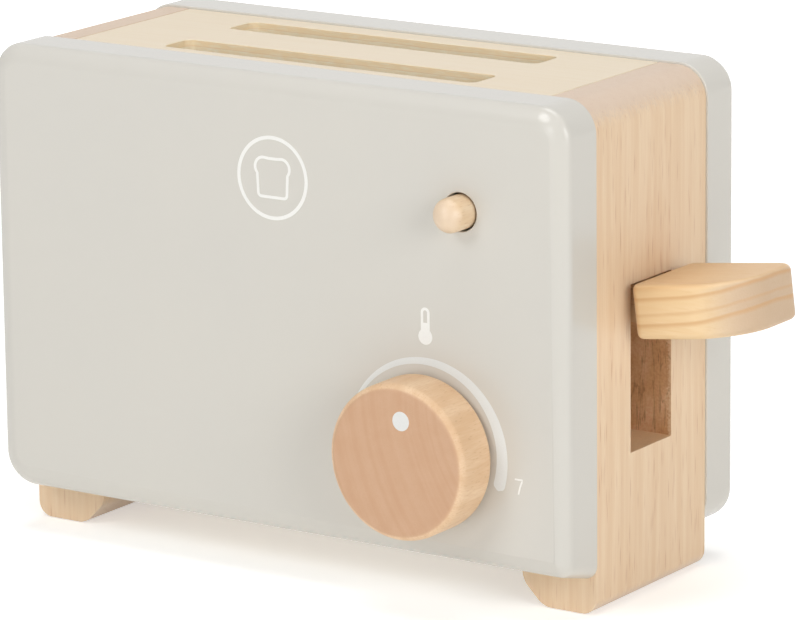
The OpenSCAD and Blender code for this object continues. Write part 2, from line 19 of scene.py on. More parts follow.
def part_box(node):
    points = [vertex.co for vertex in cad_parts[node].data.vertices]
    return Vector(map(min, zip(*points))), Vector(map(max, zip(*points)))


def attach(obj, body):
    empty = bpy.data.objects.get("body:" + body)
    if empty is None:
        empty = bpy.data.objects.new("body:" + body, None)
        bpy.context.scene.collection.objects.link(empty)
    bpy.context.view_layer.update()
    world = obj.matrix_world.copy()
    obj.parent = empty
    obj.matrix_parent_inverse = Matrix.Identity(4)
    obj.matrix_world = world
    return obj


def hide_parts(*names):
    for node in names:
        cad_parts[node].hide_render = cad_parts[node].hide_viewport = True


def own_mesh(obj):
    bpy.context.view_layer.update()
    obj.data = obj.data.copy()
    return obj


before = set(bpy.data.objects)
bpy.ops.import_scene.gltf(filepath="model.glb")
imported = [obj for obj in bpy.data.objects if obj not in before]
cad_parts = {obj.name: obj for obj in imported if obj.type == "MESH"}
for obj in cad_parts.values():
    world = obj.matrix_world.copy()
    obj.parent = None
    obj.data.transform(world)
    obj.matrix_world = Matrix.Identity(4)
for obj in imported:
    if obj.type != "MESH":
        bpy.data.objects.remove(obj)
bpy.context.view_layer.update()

LOG = logging.getLogger("toy_toaster")
Pair = tuple[float, float]
Triple = tuple[float, float, float]
BMesh = bmesh.types.BMesh
Material = bpy.types.Material
Node = bpy.types.Node
Piece = bpy.types.Object
Socket = bpy.types.NodeSocket
Tree = bpy.types.NodeTree
Step = tuple[str, Sequence[Vector], Sequence[Vector]]

MM = 0.001
# Points nearer than this are one, in metres: in a built mesh, and in a CAD node's loose triangles.
WELD, NODE_WELD = 1e-7, 2e-6
# Angles in degrees: below the first two faces count as one flat, from the second an edge is sanded.
FLAT_BELOW, SANDED_FROM = 0.4, 28
LATHE_STEPS = 112
RIM_STEPS = 64
CORNERS = ((-1, -1), (1, -1), (1, 1), (-1, 1))
SOFT = {"interpolation_type": "SMOOTHSTEP"}

FRONT_LOW, FRONT_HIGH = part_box("front_panel")
MIDDLE_X = (FRONT_LOW.x + FRONT_HIGH.x) / 2
MIDDLE_Y = (FRONT_LOW.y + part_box("back_panel")[1].y) / 2


# ---- Tools of the workshop ----


def place(x: float, y: float, z: float) -> Vector:
    """Turns a point in body millimetres into the frame's metres."""
    return Vector((MIDDLE_X + x * MM, MIDDLE_Y + y * MM, z * MM))


def linear(code: str) -> tuple[float, float, float, float]:
    """Turns an sRGB colour into linear light.

    Args:
        code: The colour as #RRGGBB.

    Returns:
        Red, green, blue and an alpha of 1.
    """
    values = [int(code[i : i + 2], 16) / 255 for i in (1, 3, 5)]
    light = [v / 12.92 if v <= 0.04045 else ((v + 0.055) / 1.055) ** 2.4 for v in values]
    return (light[0], light[1], light[2], 1.0)


def add(
    tree: Tree, kind: str, inputs: dict | None = None, out: int | str = 0, **settings: Any
) -> Socket | None:
    """Adds a node with its settings and links.

    Args:
        tree: The shader or geometry tree that gets the node.
        kind: The node's type.
        inputs: What goes into each socket, by name or number: a socket to link, or a value.
        out: The output that is wanted, by name or number.
        settings: The node's properties by name.

    Returns:
        That output, or None if the node has none.
    """
    node = tree.nodes.new(kind)
    for key, value in settings.items():
        setattr(node, key, value)
    for key, value in (inputs or {}).items():
        if isinstance(value, Socket):
            tree.links.new(value, node.inputs[key])
        else:
            node.inputs[key].default_value = value
    return node.outputs[out] if len(node.outputs) else None


def linked(name: str, data: bpy.types.ID) -> Piece:
    """Makes an object and links it to the scene.

    Args:
        name: Its name.
        data: Its mesh, lamp or camera.

    Returns:
        The object.
    """
    made = bpy.data.objects.new(name, data)
    bpy.context.scene.collection.objects.link(made)
    return made


def arc(centre: Pair, radius: float, start: float, end: float, steps: int) -> list[Pair]:
    """Lists the steps + 1 points of an arc, from the start to the end angle in degrees."""
    angles = [math.radians(start + (end - start) * i / steps) for i in range(steps + 1)]
    return [(centre[0] + radius * math.cos(a), centre[1] + radius * math.sin(a)) for a in angles]


def skin(bm: BMesh, rings: Sequence[Sequence[Vector]], loop: bool = False) -> list[list]:
    """Joins neighbouring rings of points with faces.

    Args:
        bm: The mesh that gets them.
        rings: Rings with equal counts of points. A ring of one point is a pole.
        loop: True if the last ring joins the first.

    Returns:
        The vertices of each ring.
    """
    made = [[bm.verts.new(p) for p in ring] for ring in rings]
    for a, b in zip(made, made[1:] + (made[:1] if loop else [])):
        count = max(len(a), len(b))
        for i in range(count):
            j = (i + 1) % count
            corners = [a[i % len(a)], a[j % len(a)], b[j % len(b)], b[i % len(b)]]
            bm.faces.new(list(dict.fromkeys(corners)))
    return made


def even_normals(mesh: bpy.types.Mesh, crease: float) -> None:
    """Shades a mesh smoothly with its large flat faces kept flat.

    Each corner takes the mean normal of the faces at its point that turn by less than the crease,
    each weighted by its area, so that a fine rounding runs into a flat face with no soft shadow.

    Args:
        mesh: The finished mesh.
        crease: The angle in degrees from which an edge stays sharp.
    """
    limit = math.cos(math.radians(crease))
    around: list[list[int]] = [[] for _ in mesh.vertices]
    for face in mesh.polygons:
        face.use_smooth = True
        for v in face.vertices:
            around[v].append(face.index)
    directions = [face.normal.copy() for face in mesh.polygons]
    areas = [face.area for face in mesh.polygons]
    normals = [Vector((0, 0, 1))] * len(mesh.loops)
    for face in mesh.polygons:
        own = directions[face.index]
        for loop in face.loop_indices:
            near = [f for f in around[mesh.loops[loop].vertex_index] if own.dot(directions[f]) > limit]
            total = sum((directions[f] * areas[f] for f in near), Vector())
            normals[loop] = total.normalized() if total.length > 0 else own
    mesh.normals_split_custom_set(normals)


def solid(name: str, bm: BMesh, material: Material, crease: float = 50) -> Piece:
    """Closes a mesh, turns its faces outwards and makes it a piece.

    Args:
        name: The piece's name.
        bm: Its mesh, in the frame's metres, which is used up.
        material: Its finish.
        crease: The angle in degrees from which an edge stays sharp.

    Returns:
        The piece, at the origin.
    """
    bmesh.ops.remove_doubles(bm, verts=bm.verts, dist=WELD)
    bmesh.ops.recalc_face_normals(bm, faces=bm.faces)
    mesh = bpy.data.meshes.new(name)
    bm.to_mesh(mesh)
    bm.free()
    even_normals(mesh, crease)
    mesh.materials.append(material)
    return linked(name, mesh)


def turned(
    name: str, profile: Sequence[Pair], centre: Vector, axis: Triple, material: Material, loop: bool = False
) -> Piece:
    """Turns a piece on the lathe.

    Args:
        name: The piece's name.
        profile: Points of (radius, height along the axis).
        centre: Where the height is 0, in the frame.
        axis: Direction of the height.
        material: Its finish.
        loop: True for a tube, whose profile closes on itself.

    Returns:
        The piece.
    """
    up = Vector(axis)
    side = up.orthogonal().normalized()
    other = up.cross(side)
    angles = [2 * math.pi * k / LATHE_STEPS for k in range(LATHE_STEPS)]
    rings = []
    for r, h in profile:
        middle = centre + up * h * MM
        if r == 0:
            rings.append([middle])
        else:
            rings.append([middle + (side * math.cos(a) + other * math.sin(a)) * r * MM for a in angles])
    bm = bmesh.new()
    skin(bm, rings, loop)
    return solid(name, bm, material)


def pin_profile(radius: float, length: float, chamfer: float) -> list[Pair]:
    """Lists the profile of a round pin with chamfered ends, from height 0 to its length."""
    low = [(0, 0), (radius - chamfer, 0), (radius, chamfer)]
    return low + [(r, length - h) for r, h in reversed(low)]


def sanded(
    node: str, material: Material, width: float = 0.5,
    soft: Callable[[bmesh.types.BMEdge], bool] | None = None, soft_width: float = 2.0,
    mesh: bpy.types.Mesh | None = None,
) -> Piece:
    """Copies a CAD node and breaks its sharp edges, as sanding does.

    Args:
        node: The CAD node's name.
        material: The copy's finish.
        width: How far the rounding reaches from each edge.
        soft: Tells which edges are rounded more.
        soft_width: How far the rounding of those reaches.
        mesh: A changed mesh of the node, if its own isn't wanted.

    Returns:
        The piece, named for the node.
    """
    bm = bmesh.new()
    bm.from_mesh(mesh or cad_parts[node].data)
    bmesh.ops.remove_doubles(bm, verts=bm.verts, dist=NODE_WELD)
    bmesh.ops.dissolve_limit(bm, angle_limit=math.radians(FLAT_BELOW), verts=bm.verts, edges=bm.edges)
    passes = [(lambda edge: True, width, 3)]
    if soft:
        passes.insert(0, (soft, soft_width, 6))
    sharp = math.radians(SANDED_FROM)
    for chosen, reach, segments in passes:
        edges = [
            e for e in bm.edges if len(e.link_faces) == 2 and e.calc_face_angle() > sharp and chosen(e)
        ]
        bmesh.ops.bevel(
            bm, geom=edges, offset=reach * MM, offset_type="OFFSET", segments=segments, profile=0.5,
            affect="EDGES", clamp_overlap=True, loop_slide=True,
        )
    return solid("sanded_" + node, bm, material, 40)


def carved(node: str, steps: Sequence[Step]) -> bpy.types.Mesh:
    """Copies a CAD node's mesh, and saws straight blocks out of it or glues them to it.

    Args:
        node: The CAD node's name.
        steps: For each block DIFFERENCE or UNION, and the corners of its two ends in the frame.

    Returns:
        The new mesh.
    """
    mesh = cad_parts[node].data.copy()
    for step, *ends in steps:
        bm = bmesh.new()
        for ring in skin(bm, ends):
            bm.faces.new(ring)
        bmesh.ops.recalc_face_normals(bm, faces=bm.faces)
        tool = linked("tool", bpy.data.meshes.new("tool"))
        bm.to_mesh(tool.data)
        bm.free()
        blank = linked("blank", mesh)
        cut = blank.modifiers.new("cut", "BOOLEAN")
        cut.operation, cut.solver, cut.object = step, "EXACT", tool
        graph = bpy.context.evaluated_depsgraph_get()
        mesh = bpy.data.meshes.new_from_object(blank.evaluated_get(graph), depsgraph=graph)
        for thing in (tool, blank):
            bpy.data.objects.remove(thing)
    return mesh


@dataclass(frozen=True)
class Hole:
    """A round hole in a board, through it or blind from its inner face."""

    x: float
    y: float
    radius: float
    depth: float | None = None

    def rim(self, wider: float) -> list[Pair]:
        """Lists the points of its rim, moved outwards by wider."""
        return arc((self.x, self.y), self.radius + wider, 0, 360, RIM_STEPS)[:-1]

    def wall(self, thickness: float, chamfer: float) -> list[Pair]:
        """Lists (wider, depth) from the inner face outwards, with broken edges.

        Args:
            thickness: The board's thickness.
            chamfer: How far its broken edges reach.

        Returns:
            The levels of its wall.
        """
        if self.depth is not None:
            return [(chamfer * 0.4, 0), (0, chamfer * 0.4), (0, self.depth)]
        half = [(chamfer, 0), (chamfer * 0.3, chamfer * 0.3), (0, chamfer)]
        return half + [(wider, thickness - depth) for wider, depth in reversed(half)]


@dataclass(frozen=True)
class Slot(Hole):
    """A straight slot, whose corners have the radius."""

    half_length: float = 50
    half_width: float = 6

    def rim(self, wider: float) -> list[Pair]:
        """Lists the points of its rim.

        Args:
            wider: How far they are moved outwards.

        Returns:
            The points.
        """
        points = []
        run, rise = self.half_length - self.radius, self.half_width - self.radius
        for i, (sx, sy) in enumerate(CORNERS):
            centre = (self.x + sx * run, self.y + sy * rise)
            points += arc(centre, self.radius + wider, 180 + 90 * i, 270 + 90 * i, 8)
        return points


@dataclass(frozen=True)
class Board:
    """A board with a radius for each corner and rounded edges.

    Its middle is at (0, 0), and its depth runs from 0 at the inner face to its thickness. The
    corners are lower left, lower right, upper right and upper left. A bevel, as points of (depth
    under the outer face, inset), stands in for the outer edge's rounding.
    """

    width: float
    height: float
    thickness: float
    radii: tuple[float, float, float, float]
    outer_edge: float
    inner_edge: float = 0.4
    slope: float = 0
    holes: tuple[Hole, ...] = ()
    bevel: tuple[Pair, ...] = ()
    least_radius: float = 0.15
    hole_chamfer: float = 0.35

    def outline(self, depth: float, inset: float) -> list[Pair]:
        """Lists the board's outline, anticlockwise.

        Args:
            depth: How far it lies from the inner face.
            inset: How far it is drawn in.

        Returns:
            The points.
        """
        rise = self.slope * depth / self.thickness
        points = []
        for i, ((sx, sy), r) in enumerate(zip(CORNERS, self.radii)):
            centre = (sx * (self.width / 2 - r), sy * (self.height / 2 - r) + (rise if sy < 0 else 0))
            points += arc(centre, max(r - inset, self.least_radius), 180 + 90 * i, 270 + 90 * i, 16)
        return points

    def levels(self) -> list[Pair]:
        """Lists the levels from the inner face round both edges to the outer face.

        Returns:
            Each level's depth and inset.
        """
        e, f, t = self.inner_edge, self.outer_edge, self.thickness
        inner = [(e - e * math.cos(a), e - e * math.sin(a)) for a in self.quarter(4)]
        outer = [(t - f + f * math.sin(a), f - f * math.cos(a)) for a in self.quarter(10)]
        if self.bevel:
            outer = [(t - depth, inset) for depth, inset in self.bevel]
        return inner + outer

    @staticmethod
    def quarter(steps: int) -> list[float]:
        """Lists angles over a quarter turn."""
        return [math.pi / 2 * i / steps for i in range(steps + 1)]

    def cut(self, name: str, put: Callable[[float, float, float], Vector], material: Material) -> Piece:
        """Makes the board as a piece.

        Args:
            name: The piece's name.
            put: Turns (x, y, depth) into a point in the frame.
            material: Its finish.

        Returns:
            The piece.
        """
        bm = bmesh.new()
        made = skin(bm, [[put(x, y, d) for x, y in self.outline(d, inset)] for d, inset in self.levels()])
        inner, outer = [made[0]], [made[-1]]
        for hole in self.holes:
            levels = hole.wall(self.thickness, self.hole_chamfer)
            bore = skin(bm, [[put(x, y, d) for x, y in hole.rim(wider)] for wider, d in levels])
            inner.append(bore[0])
            if hole.depth is None:
                outer.append(bore[-1])
            else:
                bm.faces.new(bore[-1])
        for loops in (inner, outer):
            if len(loops) == 1:
                bm.faces.new(loops[0])
                continue
            edges = [bm.edges.get((v, w)) for ring in loops for v, w in zip(ring, ring[1:] + ring[:1])]
            bmesh.ops.triangle_fill(bm, use_beauty=True, edges=edges)
        return solid(name, bm, material)


# ---- Patterns ----


class Grain(Enum):
    """The way the grain runs, as the turn that brings it upright."""

    ALONG_X = (0.0, math.pi / 2, 0.0)
    ALONG_Y = (math.pi / 2, 0.0, 0.0)
    UPRIGHT = (0.0, 0.0, 0.0)


def cells(across: float, along: float) -> Triple:
    """Gives the scale of a pattern whose cells have these sizes in millimetres, with the grain upright."""
    return (1000 / across, 1000 / across, 1000 / along)


def empty_material(name: str) -> tuple[Material, Tree]:
    """Makes a material with nodes and none in it yet.

    Args:
        name: Its name.

    Returns:
        The material and its tree.
    """
    material = bpy.data.materials.new(name)
    material.use_nodes = True
    material.node_tree.nodes.clear()
    return material, material.node_tree


def stretched_noise(
    tree: Tree, where: Socket, scale: Triple, detail: float, out: int = 0, **look: float
) -> Socket:
    """Adds a noise with its own scale along each axis. Output 0 is one value, output 1 three."""
    scaled = add(tree, "ShaderNodeMapping", {"Vector": where, "Scale": scale})
    return add(tree, "ShaderNodeTexNoise", {"Vector": scaled, "Scale": 1.0, "Detail": detail, **look}, out)


def patches(tree: Tree, where: Socket, scale: Triple, detail: float, span: Pair, **look: float) -> Socket:
    """Adds a stretched noise, drawn apart into soft patches of 0 and 1 from the span's two values."""
    noise = stretched_noise(tree, where, scale, detail, **look)
    return add(tree, "ShaderNodeMapRange", {"Value": noise, "From Min": span[0], "From Max": span[1]}, **SOFT)


def layered(tree: Tree, base: Socket | str, *layers: tuple[Socket, Socket | str]) -> Socket:
    """Lays tones over a colour, one after the other.

    Args:
        tree: The material's tree.
        base: The lowest colour, as a socket or as #RRGGBB.
        layers: For each tone its share from 0 to 1 and its colour.

    Returns:
        The colour's socket.
    """
    for share, tone in layers:
        below, above = (linear(c) if isinstance(c, str) else c for c in (base, tone))
        base = add(tree, "ShaderNodeMix", {0: share, 6: below, 7: above}, 2, data_type="RGBA")
    return base


# ---- Finishes ----


@dataclass(frozen=True)
class Finish:
    """A finish of the toaster. Each kind of finish draws its own pattern."""

    name: str

    def drawn(self, tree: Tree, source: Node) -> dict[str, Any]:
        """Draws the finish, and gives what goes into the shader's sockets."""
        raise NotImplementedError

    def build(self) -> Material:
        """Makes the material.

        Returns:
            The material, with every node in it.
        """
        material, tree = empty_material(self.name)
        source = add(tree, "ShaderNodeTexCoord").node
        shader = add(tree, "ShaderNodeBsdfPrincipled", self.drawn(tree, source))
        add(tree, "ShaderNodeOutputMaterial", {"Surface": shader})
        return material


@dataclass(frozen=True)
class Wood(Finish):
    """Planed and sanded wood under a thin matt lacquer.

    Its eye-catchers are broad pale and dark streaks, fine fibres and short open pores, all along
    the grain, and another tone on the faces that look along face_axis.
    """

    pale: str
    deep: str
    pore: str
    face: str
    grain: Grain = Grain.UPRIGHT
    face_axis: Triple = (0, 0, 1)
    shift: Triple = (0, 0, 0)
    face_share: float = 0.85
    face_from: Pair = (0.2, 0.85)
    ragged: float = 0.0
    wander: Pair = (30.0, 110.0)
    sway: float = 4.0
    streak: Pair = (2.4, 60.0)
    streak_span: Pair = (0.32, 0.7)
    # Real fibres and pores are mostly under 0.1 mm wide. They are drawn coarser, so that they show.
    fibre: Pair = (0.3, 14.0)
    fibre_span: Pair = (0.38, 0.72)
    pores: Pair = (0.9, 14.0)
    pore_rim: Pair = (0.3, 0.08)
    pore_strength: float = 0.5
    fibre_strength: float = 0.4
    roughness: float = 0.52
    relief: float = 0.03

    def grown(self, tree: Tree, where: Socket) -> tuple[Socket, Socket, Socket]:
        """Adds the wood's own pattern.

        Args:
            tree: The material's tree.
            where: The piece's Object coordinates.

        Returns:
            The sockets of the colour, and of the pores and fibres from 0 to 1.
        """
        turn = {"Vector": where, "Location": self.shift, "Rotation": self.grain.value}
        upright = add(tree, "ShaderNodeMapping", turn)
        bend = stretched_noise(tree, upright, cells(*self.wander), 1.0, 1)
        bend = add(tree, "ShaderNodeVectorMath", {0: bend, "Scale": self.sway * MM}, operation="SCALE")
        bent = add(tree, "ShaderNodeVectorMath", {0: upright, 1: bend}, operation="ADD")
        streak = patches(tree, bent, cells(*self.streak), 3.0, self.streak_span, Roughness=0.55)
        fibre = patches(tree, bent, cells(*self.fibre), 2.0, self.fibre_span, Roughness=0.6)
        pore = add(tree, "ShaderNodeMapping", {"Vector": bent, "Scale": cells(*self.pores)})
        pore = add(tree, "ShaderNodeTexVoronoi", {"Vector": pore, "Scale": 1.0}, feature="F1")
        low, high = self.pore_rim
        pore = add(tree, "ShaderNodeMapRange", {"Value": pore, "From Min": low, "From Max": high}, **SOFT)
        # The pores are stronger in the dark streaks.
        crowd = add(tree, "ShaderNodeMath", {0: streak, 1: 0.5, 2: 0.5}, operation="MULTIPLY_ADD")
        crowd = add(tree, "ShaderNodeMath", {0: pore, 1: crowd}, operation="MULTIPLY")
        thin = add(tree, "ShaderNodeMath", {0: fibre, 1: self.fibre_strength}, operation="MULTIPLY")
        dark = add(tree, "ShaderNodeMath", {0: crowd, 1: self.pore_strength}, operation="MULTIPLY")
        colour = layered(tree, self.pale, (streak, self.deep), (thin, self.deep), (dark, self.pore))
        return colour, crowd, fibre

    def toned(self, tree: Tree, facing: Socket, fibre: Socket, colour: Socket) -> Socket:
        """Gives the faces that look along face_axis their own tone, with a ragged edge.

        Args:
            tree: The material's tree.
            facing: The surface's direction on the piece.
            fibre: The fibres from 0 to 1, which make the edge ragged.
            colour: The pattern's colour.

        Returns:
            The colour's socket.
        """
        look = add(tree, "ShaderNodeVectorMath", {0: facing, 1: self.face_axis}, 1, operation="DOT_PRODUCT")
        look = add(tree, "ShaderNodeMath", {0: look}, operation="ABSOLUTE")
        look = add(tree, "ShaderNodeMath", {0: fibre, 1: self.ragged, 2: look}, operation="MULTIPLY_ADD")
        low, high = self.face_from
        span = {"Value": look, "From Min": low, "From Max": high, "To Max": self.face_share}
        look = add(tree, "ShaderNodeMapRange", span, **SOFT)
        return layered(tree, colour, (look, self.face))

    def marked(self, tree: Tree, source: Node, colour: Socket) -> Socket:
        """Leaves the colour as it is. Woods with a mark of their own draw it here."""
        return colour

    def drawn(self, tree: Tree, source: Node) -> dict[str, Any]:
        """Draws the grain, the tones and the wood's mark.

        Args:
            tree: The material's tree.
            source: The node with the piece's Object coordinates and its surface's direction.

        Returns:
            What goes into the shader's sockets.
        """
        colour, pore, fibre = self.grown(tree, source.outputs["Object"])
        colour = self.marked(tree, source, self.toned(tree, source.outputs["Normal"], fibre, colour))
        height = add(tree, "ShaderNodeMath", {0: pore, 1: 1.5, 2: fibre}, operation="MULTIPLY_ADD")
        dents = {"Height": height, "Strength": 0.5, "Distance": self.relief * MM}
        matt = {"Value": fibre, "To Min": self.roughness - 0.05, "To Max": self.roughness + 0.08}
        return {
            "Base Color": colour,
            "Roughness": add(tree, "ShaderNodeMapRange", matt),
            "Normal": add(tree, "ShaderNodeBump", dents, invert=True),
            "IOR": 1.5,
        }


@dataclass(frozen=True)
class SlottedRubberwood(Wood):
    """Rubberwood with a slot cut through it, whose bare walls are brown, torn and cracked."""

    slot_half: float = 10.6
    slot_low: float = 39.6
    slot_high: float = 85.4
    outer_x: float = 91.35
    blotch: Pair = (7.0, 16.0)
    tear: Pair = (1.9, 20.0)
    wall: str = "#E8BC93"
    wall_deep: str = "#D3A274"
    # Painted light: the slot's floor, which looks up, is lightened towards this tone, which also paints the
    # fuzzy rim at the outer face.
    pale_rim_and_painted_ledge_light: str = "#F6D9B4"
    crack: str = "#80522F"

    def marked(self, tree: Tree, source: Node, colour: Socket) -> Socket:
        """Paints the slot's walls.

        Args:
            tree: The material's tree.
            source: The node with the piece's Object coordinates and its surface's direction.
            colour: The colour of the rest of the block.

        Returns:
            The colour's socket.
        """
        where, facing = source.outputs["Object"], source.outputs["Normal"]
        middle = place(0, 0, (self.slot_low + self.slot_high) / 2)
        reach = (self.slot_high - self.slot_low) / 2 * MM
        offset = add(
            tree, "ShaderNodeVectorMath", {0: where, 1: (0, middle.y, middle.z)}, operation="SUBTRACT"
        )
        offset = add(tree, "ShaderNodeVectorMath", {0: offset}, operation="ABSOLUTE")
        x, y, z = add(tree, "ShaderNodeSeparateXYZ", {0: offset}).node.outputs
        inside = add(tree, "ShaderNodeMath", {0: y, 1: self.slot_half * MM}, operation="LESS_THAN")
        level = add(tree, "ShaderNodeMath", {0: z, 1: reach}, operation="LESS_THAN")
        inside = add(tree, "ShaderNodeMath", {0: inside, 1: level}, operation="MULTIPLY")
        sideways = add(tree, "ShaderNodeVectorMath", {0: facing, 1: (1, 0, 0)}, 1, operation="DOT_PRODUCT")
        sideways = add(tree, "ShaderNodeMath", {0: sideways}, operation="ABSOLUTE")
        wall = add(
            tree, "ShaderNodeMapRange", {"Value": sideways, "From Min": 0.8, "From Max": 0.35}, **SOFT
        )
        wall = add(tree, "ShaderNodeMath", {0: wall, 1: inside}, operation="MULTIPLY")
        blotch = patches(tree, where, cells(*self.blotch), 4.0, (0.35, 0.65))
        torn = stretched_noise(tree, where, cells(*self.tear), 2.0, Roughness=0.6, Distortion=0.25)
        # A crack runs where the noise crosses its middle value.
        torn = add(tree, "ShaderNodeMath", {0: torn, 1: 0.56}, operation="SUBTRACT")
        torn = add(tree, "ShaderNodeMath", {0: torn}, operation="ABSOLUTE")
        torn = add(
            tree, "ShaderNodeMapRange", {"Value": torn, "From Min": 0.03, "From Max": 0.0, "To Max": 0.42},
            **SOFT,
        )
        bare = layered(tree, self.wall, (blotch, self.wall_deep), (torn, self.crack))
        fuzz = add(tree, "ShaderNodeTexNoise", {"Vector": where, "Scale": 1600.0, "Detail": 2.0})
        bare = add(
            tree, "ShaderNodeMix", {0: 0.35, 6: bare, 7: fuzz}, 2, data_type="RGBA", blend_type="OVERLAY"
        )
        # The slot's floor, which looks up, is lightened by painted light, and the fuzzy rim at the block's
        # outer face is paler.
        up = add(tree, "ShaderNodeVectorMath", {0: facing, 1: (0, 0, 0.75)}, 1, operation="DOT_PRODUCT")
        rim = add(tree, "ShaderNodeMath", {0: fuzz, 1: 2.4 * MM, 2: x}, operation="MULTIPLY_ADD")
        outer = place(self.outer_x, 0, 0).x + 1.2 * MM
        near = {"Value": rim, "From Min": outer - 1.3 * MM, "From Max": outer - 0.2 * MM, "To Max": 0.7}
        rim = add(tree, "ShaderNodeMapRange", near)
        bare = layered(tree, bare, (up, self.pale_rim_and_painted_ledge_light), (rim, self.pale_rim_and_painted_ledge_light))
        return layered(tree, colour, (wall, bare))


@dataclass(frozen=True)
class Plywood(Wood):
    """Birch plywood: a smooth pale face, and layers with thin glue lines on its cut edges."""

    under: float = 124.0
    layer: float = 1.5
    saw_mark: Pair = (3.5, 0.5)
    edge_pale: str = "#FFF6DE"
    edge_deep: str = "#FCE6BF"
    glue: str = "#D6A264"

    def marked(self, tree: Tree, source: Node, colour: Socket) -> Socket:
        """Draws the layers on the cut edges.

        Args:
            tree: The material's tree.
            source: The node with the piece's Object coordinates and its surface's direction.
            colour: The colour of the face.

        Returns:
            The colour's socket.
        """
        where, facing = source.outputs["Object"], source.outputs["Normal"]
        up = add(tree, "ShaderNodeVectorMath", {0: facing, 1: (0, 0, 1)}, 1, operation="DOT_PRODUCT")
        up = add(tree, "ShaderNodeMath", {0: up}, operation="ABSOLUTE")
        edge = add(tree, "ShaderNodeMapRange", {"Value": up, "From Min": 0.75, "From Max": 0.45}, **SOFT)
        level = add(tree, "ShaderNodeSeparateXYZ", {0: where}, 2)
        level = add(tree, "ShaderNodeMath", {0: level, 1: self.under * MM}, operation="SUBTRACT")
        level = add(tree, "ShaderNodeMath", {0: level, 1: self.layer * MM}, operation="DIVIDE")
        wave = add(tree, "ShaderNodeTexNoise", {"Vector": where, "Scale": 90.0, "Detail": 2.0})
        level = add(tree, "ShaderNodeMath", {0: wave, 1: 0.35, 2: level}, operation="MULTIPLY_ADD")
        # Every other layer shows its end grain, which is darker.
        turn = add(tree, "ShaderNodeMath", {0: level, 1: 2.0}, operation="FLOORED_MODULO")
        cross = add(tree, "ShaderNodeMath", {0: turn, 1: 1.0}, operation="GREATER_THAN")
        line = add(tree, "ShaderNodeMath", {0: level, 1: 0.5}, operation="PINGPONG")
        line = add(
            tree, "ShaderNodeMapRange", {"Value": line, "From Min": 0.07, "From Max": 0.0, "To Max": 0.4},
            **SOFT,
        )
        saw = stretched_noise(tree, where, cells(*self.saw_mark), 3.0)
        saw = add(tree, "ShaderNodeMapRange", {"Value": saw, "From Min": 0.3, "From Max": 0.75})
        mixed = add(tree, "ShaderNodeMath", {0: cross, 1: 0.45, 2: saw}, operation="MULTIPLY_ADD")
        cut = layered(tree, self.edge_pale, (mixed, self.edge_deep), (line, self.glue))
        return layered(tree, colour, (edge, cut))


@dataclass(frozen=True)
class Pine(Wood):
    """Pine, sawn so that its year rings graze the top: orange lines on the sides, broad bands above.

    The rings are round an axis along the board, drop millimetres under the board's upper face. Each
    ring is its depth under the middle of that face, how far it fades inwards, and how dark it is.
    """

    middle: Triple = (94.5, 2.0, 86.1)
    tilt: float = 10.0
    drop: float = 100.0
    ripple: Triple = (25, 140, 140)
    rings: tuple[Triple, ...] = ((-0.6, 1.6, 0.35), (2.2, 1.3, 0.6), (6.2, 1.0, 0.35), (8.7, 1.4, 0.6))
    late: str = "#D2A06A"
    # Painted shade: the faces that look up are darkened towards this tone.
    upper: str = "#D3AF85"

    def marked(self, tree: Tree, source: Node, colour: Socket) -> Socket:
        """Draws the year rings.

        Args:
            tree: The material's tree.
            source: The node with the piece's Object coordinates and its surface's direction.
            colour: The wood's colour between the rings.

        Returns:
            The colour's socket.
        """
        where, facing = source.outputs["Object"], source.outputs["Normal"]
        local = add(tree, "ShaderNodeVectorMath", {0: where, 1: place(*self.middle)}, operation="SUBTRACT")
        tilt = (0, math.radians(self.tilt), 0)
        local = add(tree, "ShaderNodeMapping", {"Vector": local, "Rotation": tilt})
        ripple = stretched_noise(tree, local, self.ripple, 2.0)
        turned_in = {0: local, 1: (0, 1 / MM, 1 / MM), 2: (0, 0, self.drop)}
        from_axis = add(tree, "ShaderNodeVectorMath", turned_in, operation="MULTIPLY_ADD")
        reach = add(tree, "ShaderNodeVectorMath", {0: from_axis}, 1, operation="LENGTH")
        reach = add(tree, "ShaderNodeMath", {0: ripple, 1: 1.0, 2: reach}, operation="MULTIPLY_ADD")
        depth = add(tree, "ShaderNodeMath", {0: self.drop + 0.5, 1: reach}, operation="SUBTRACT")
        # Each ring darkens slowly towards its outer side and ends there at once.
        for at, fade, strength in self.rings:
            dark = at + 0.1
            rise = {"Value": depth, "From Min": at + fade, "From Max": dark, "To Max": strength}
            rise = add(tree, "ShaderNodeMapRange", rise, **SOFT)
            end = {"Value": depth, "From Min": at - 0.55, "From Max": dark}
            end = add(tree, "ShaderNodeMapRange", end, **SOFT)
            ring = add(tree, "ShaderNodeMath", {0: rise, 1: end}, operation="MULTIPLY")
            colour = layered(tree, colour, (ring, self.late))
        # Painted shade: faces that look up are mixed towards the darker upper tone, by up to 0.7.
        up = add(tree, "ShaderNodeVectorMath", {0: facing, 1: (0, 0, 1)}, 1, operation="DOT_PRODUCT")
        up = add(
            tree, "ShaderNodeMapRange", {"Value": up, "From Min": 0.6, "From Max": 1.0, "To Max": 0.7}, **SOFT
        )
        return layered(tree, colour, (up, self.upper))


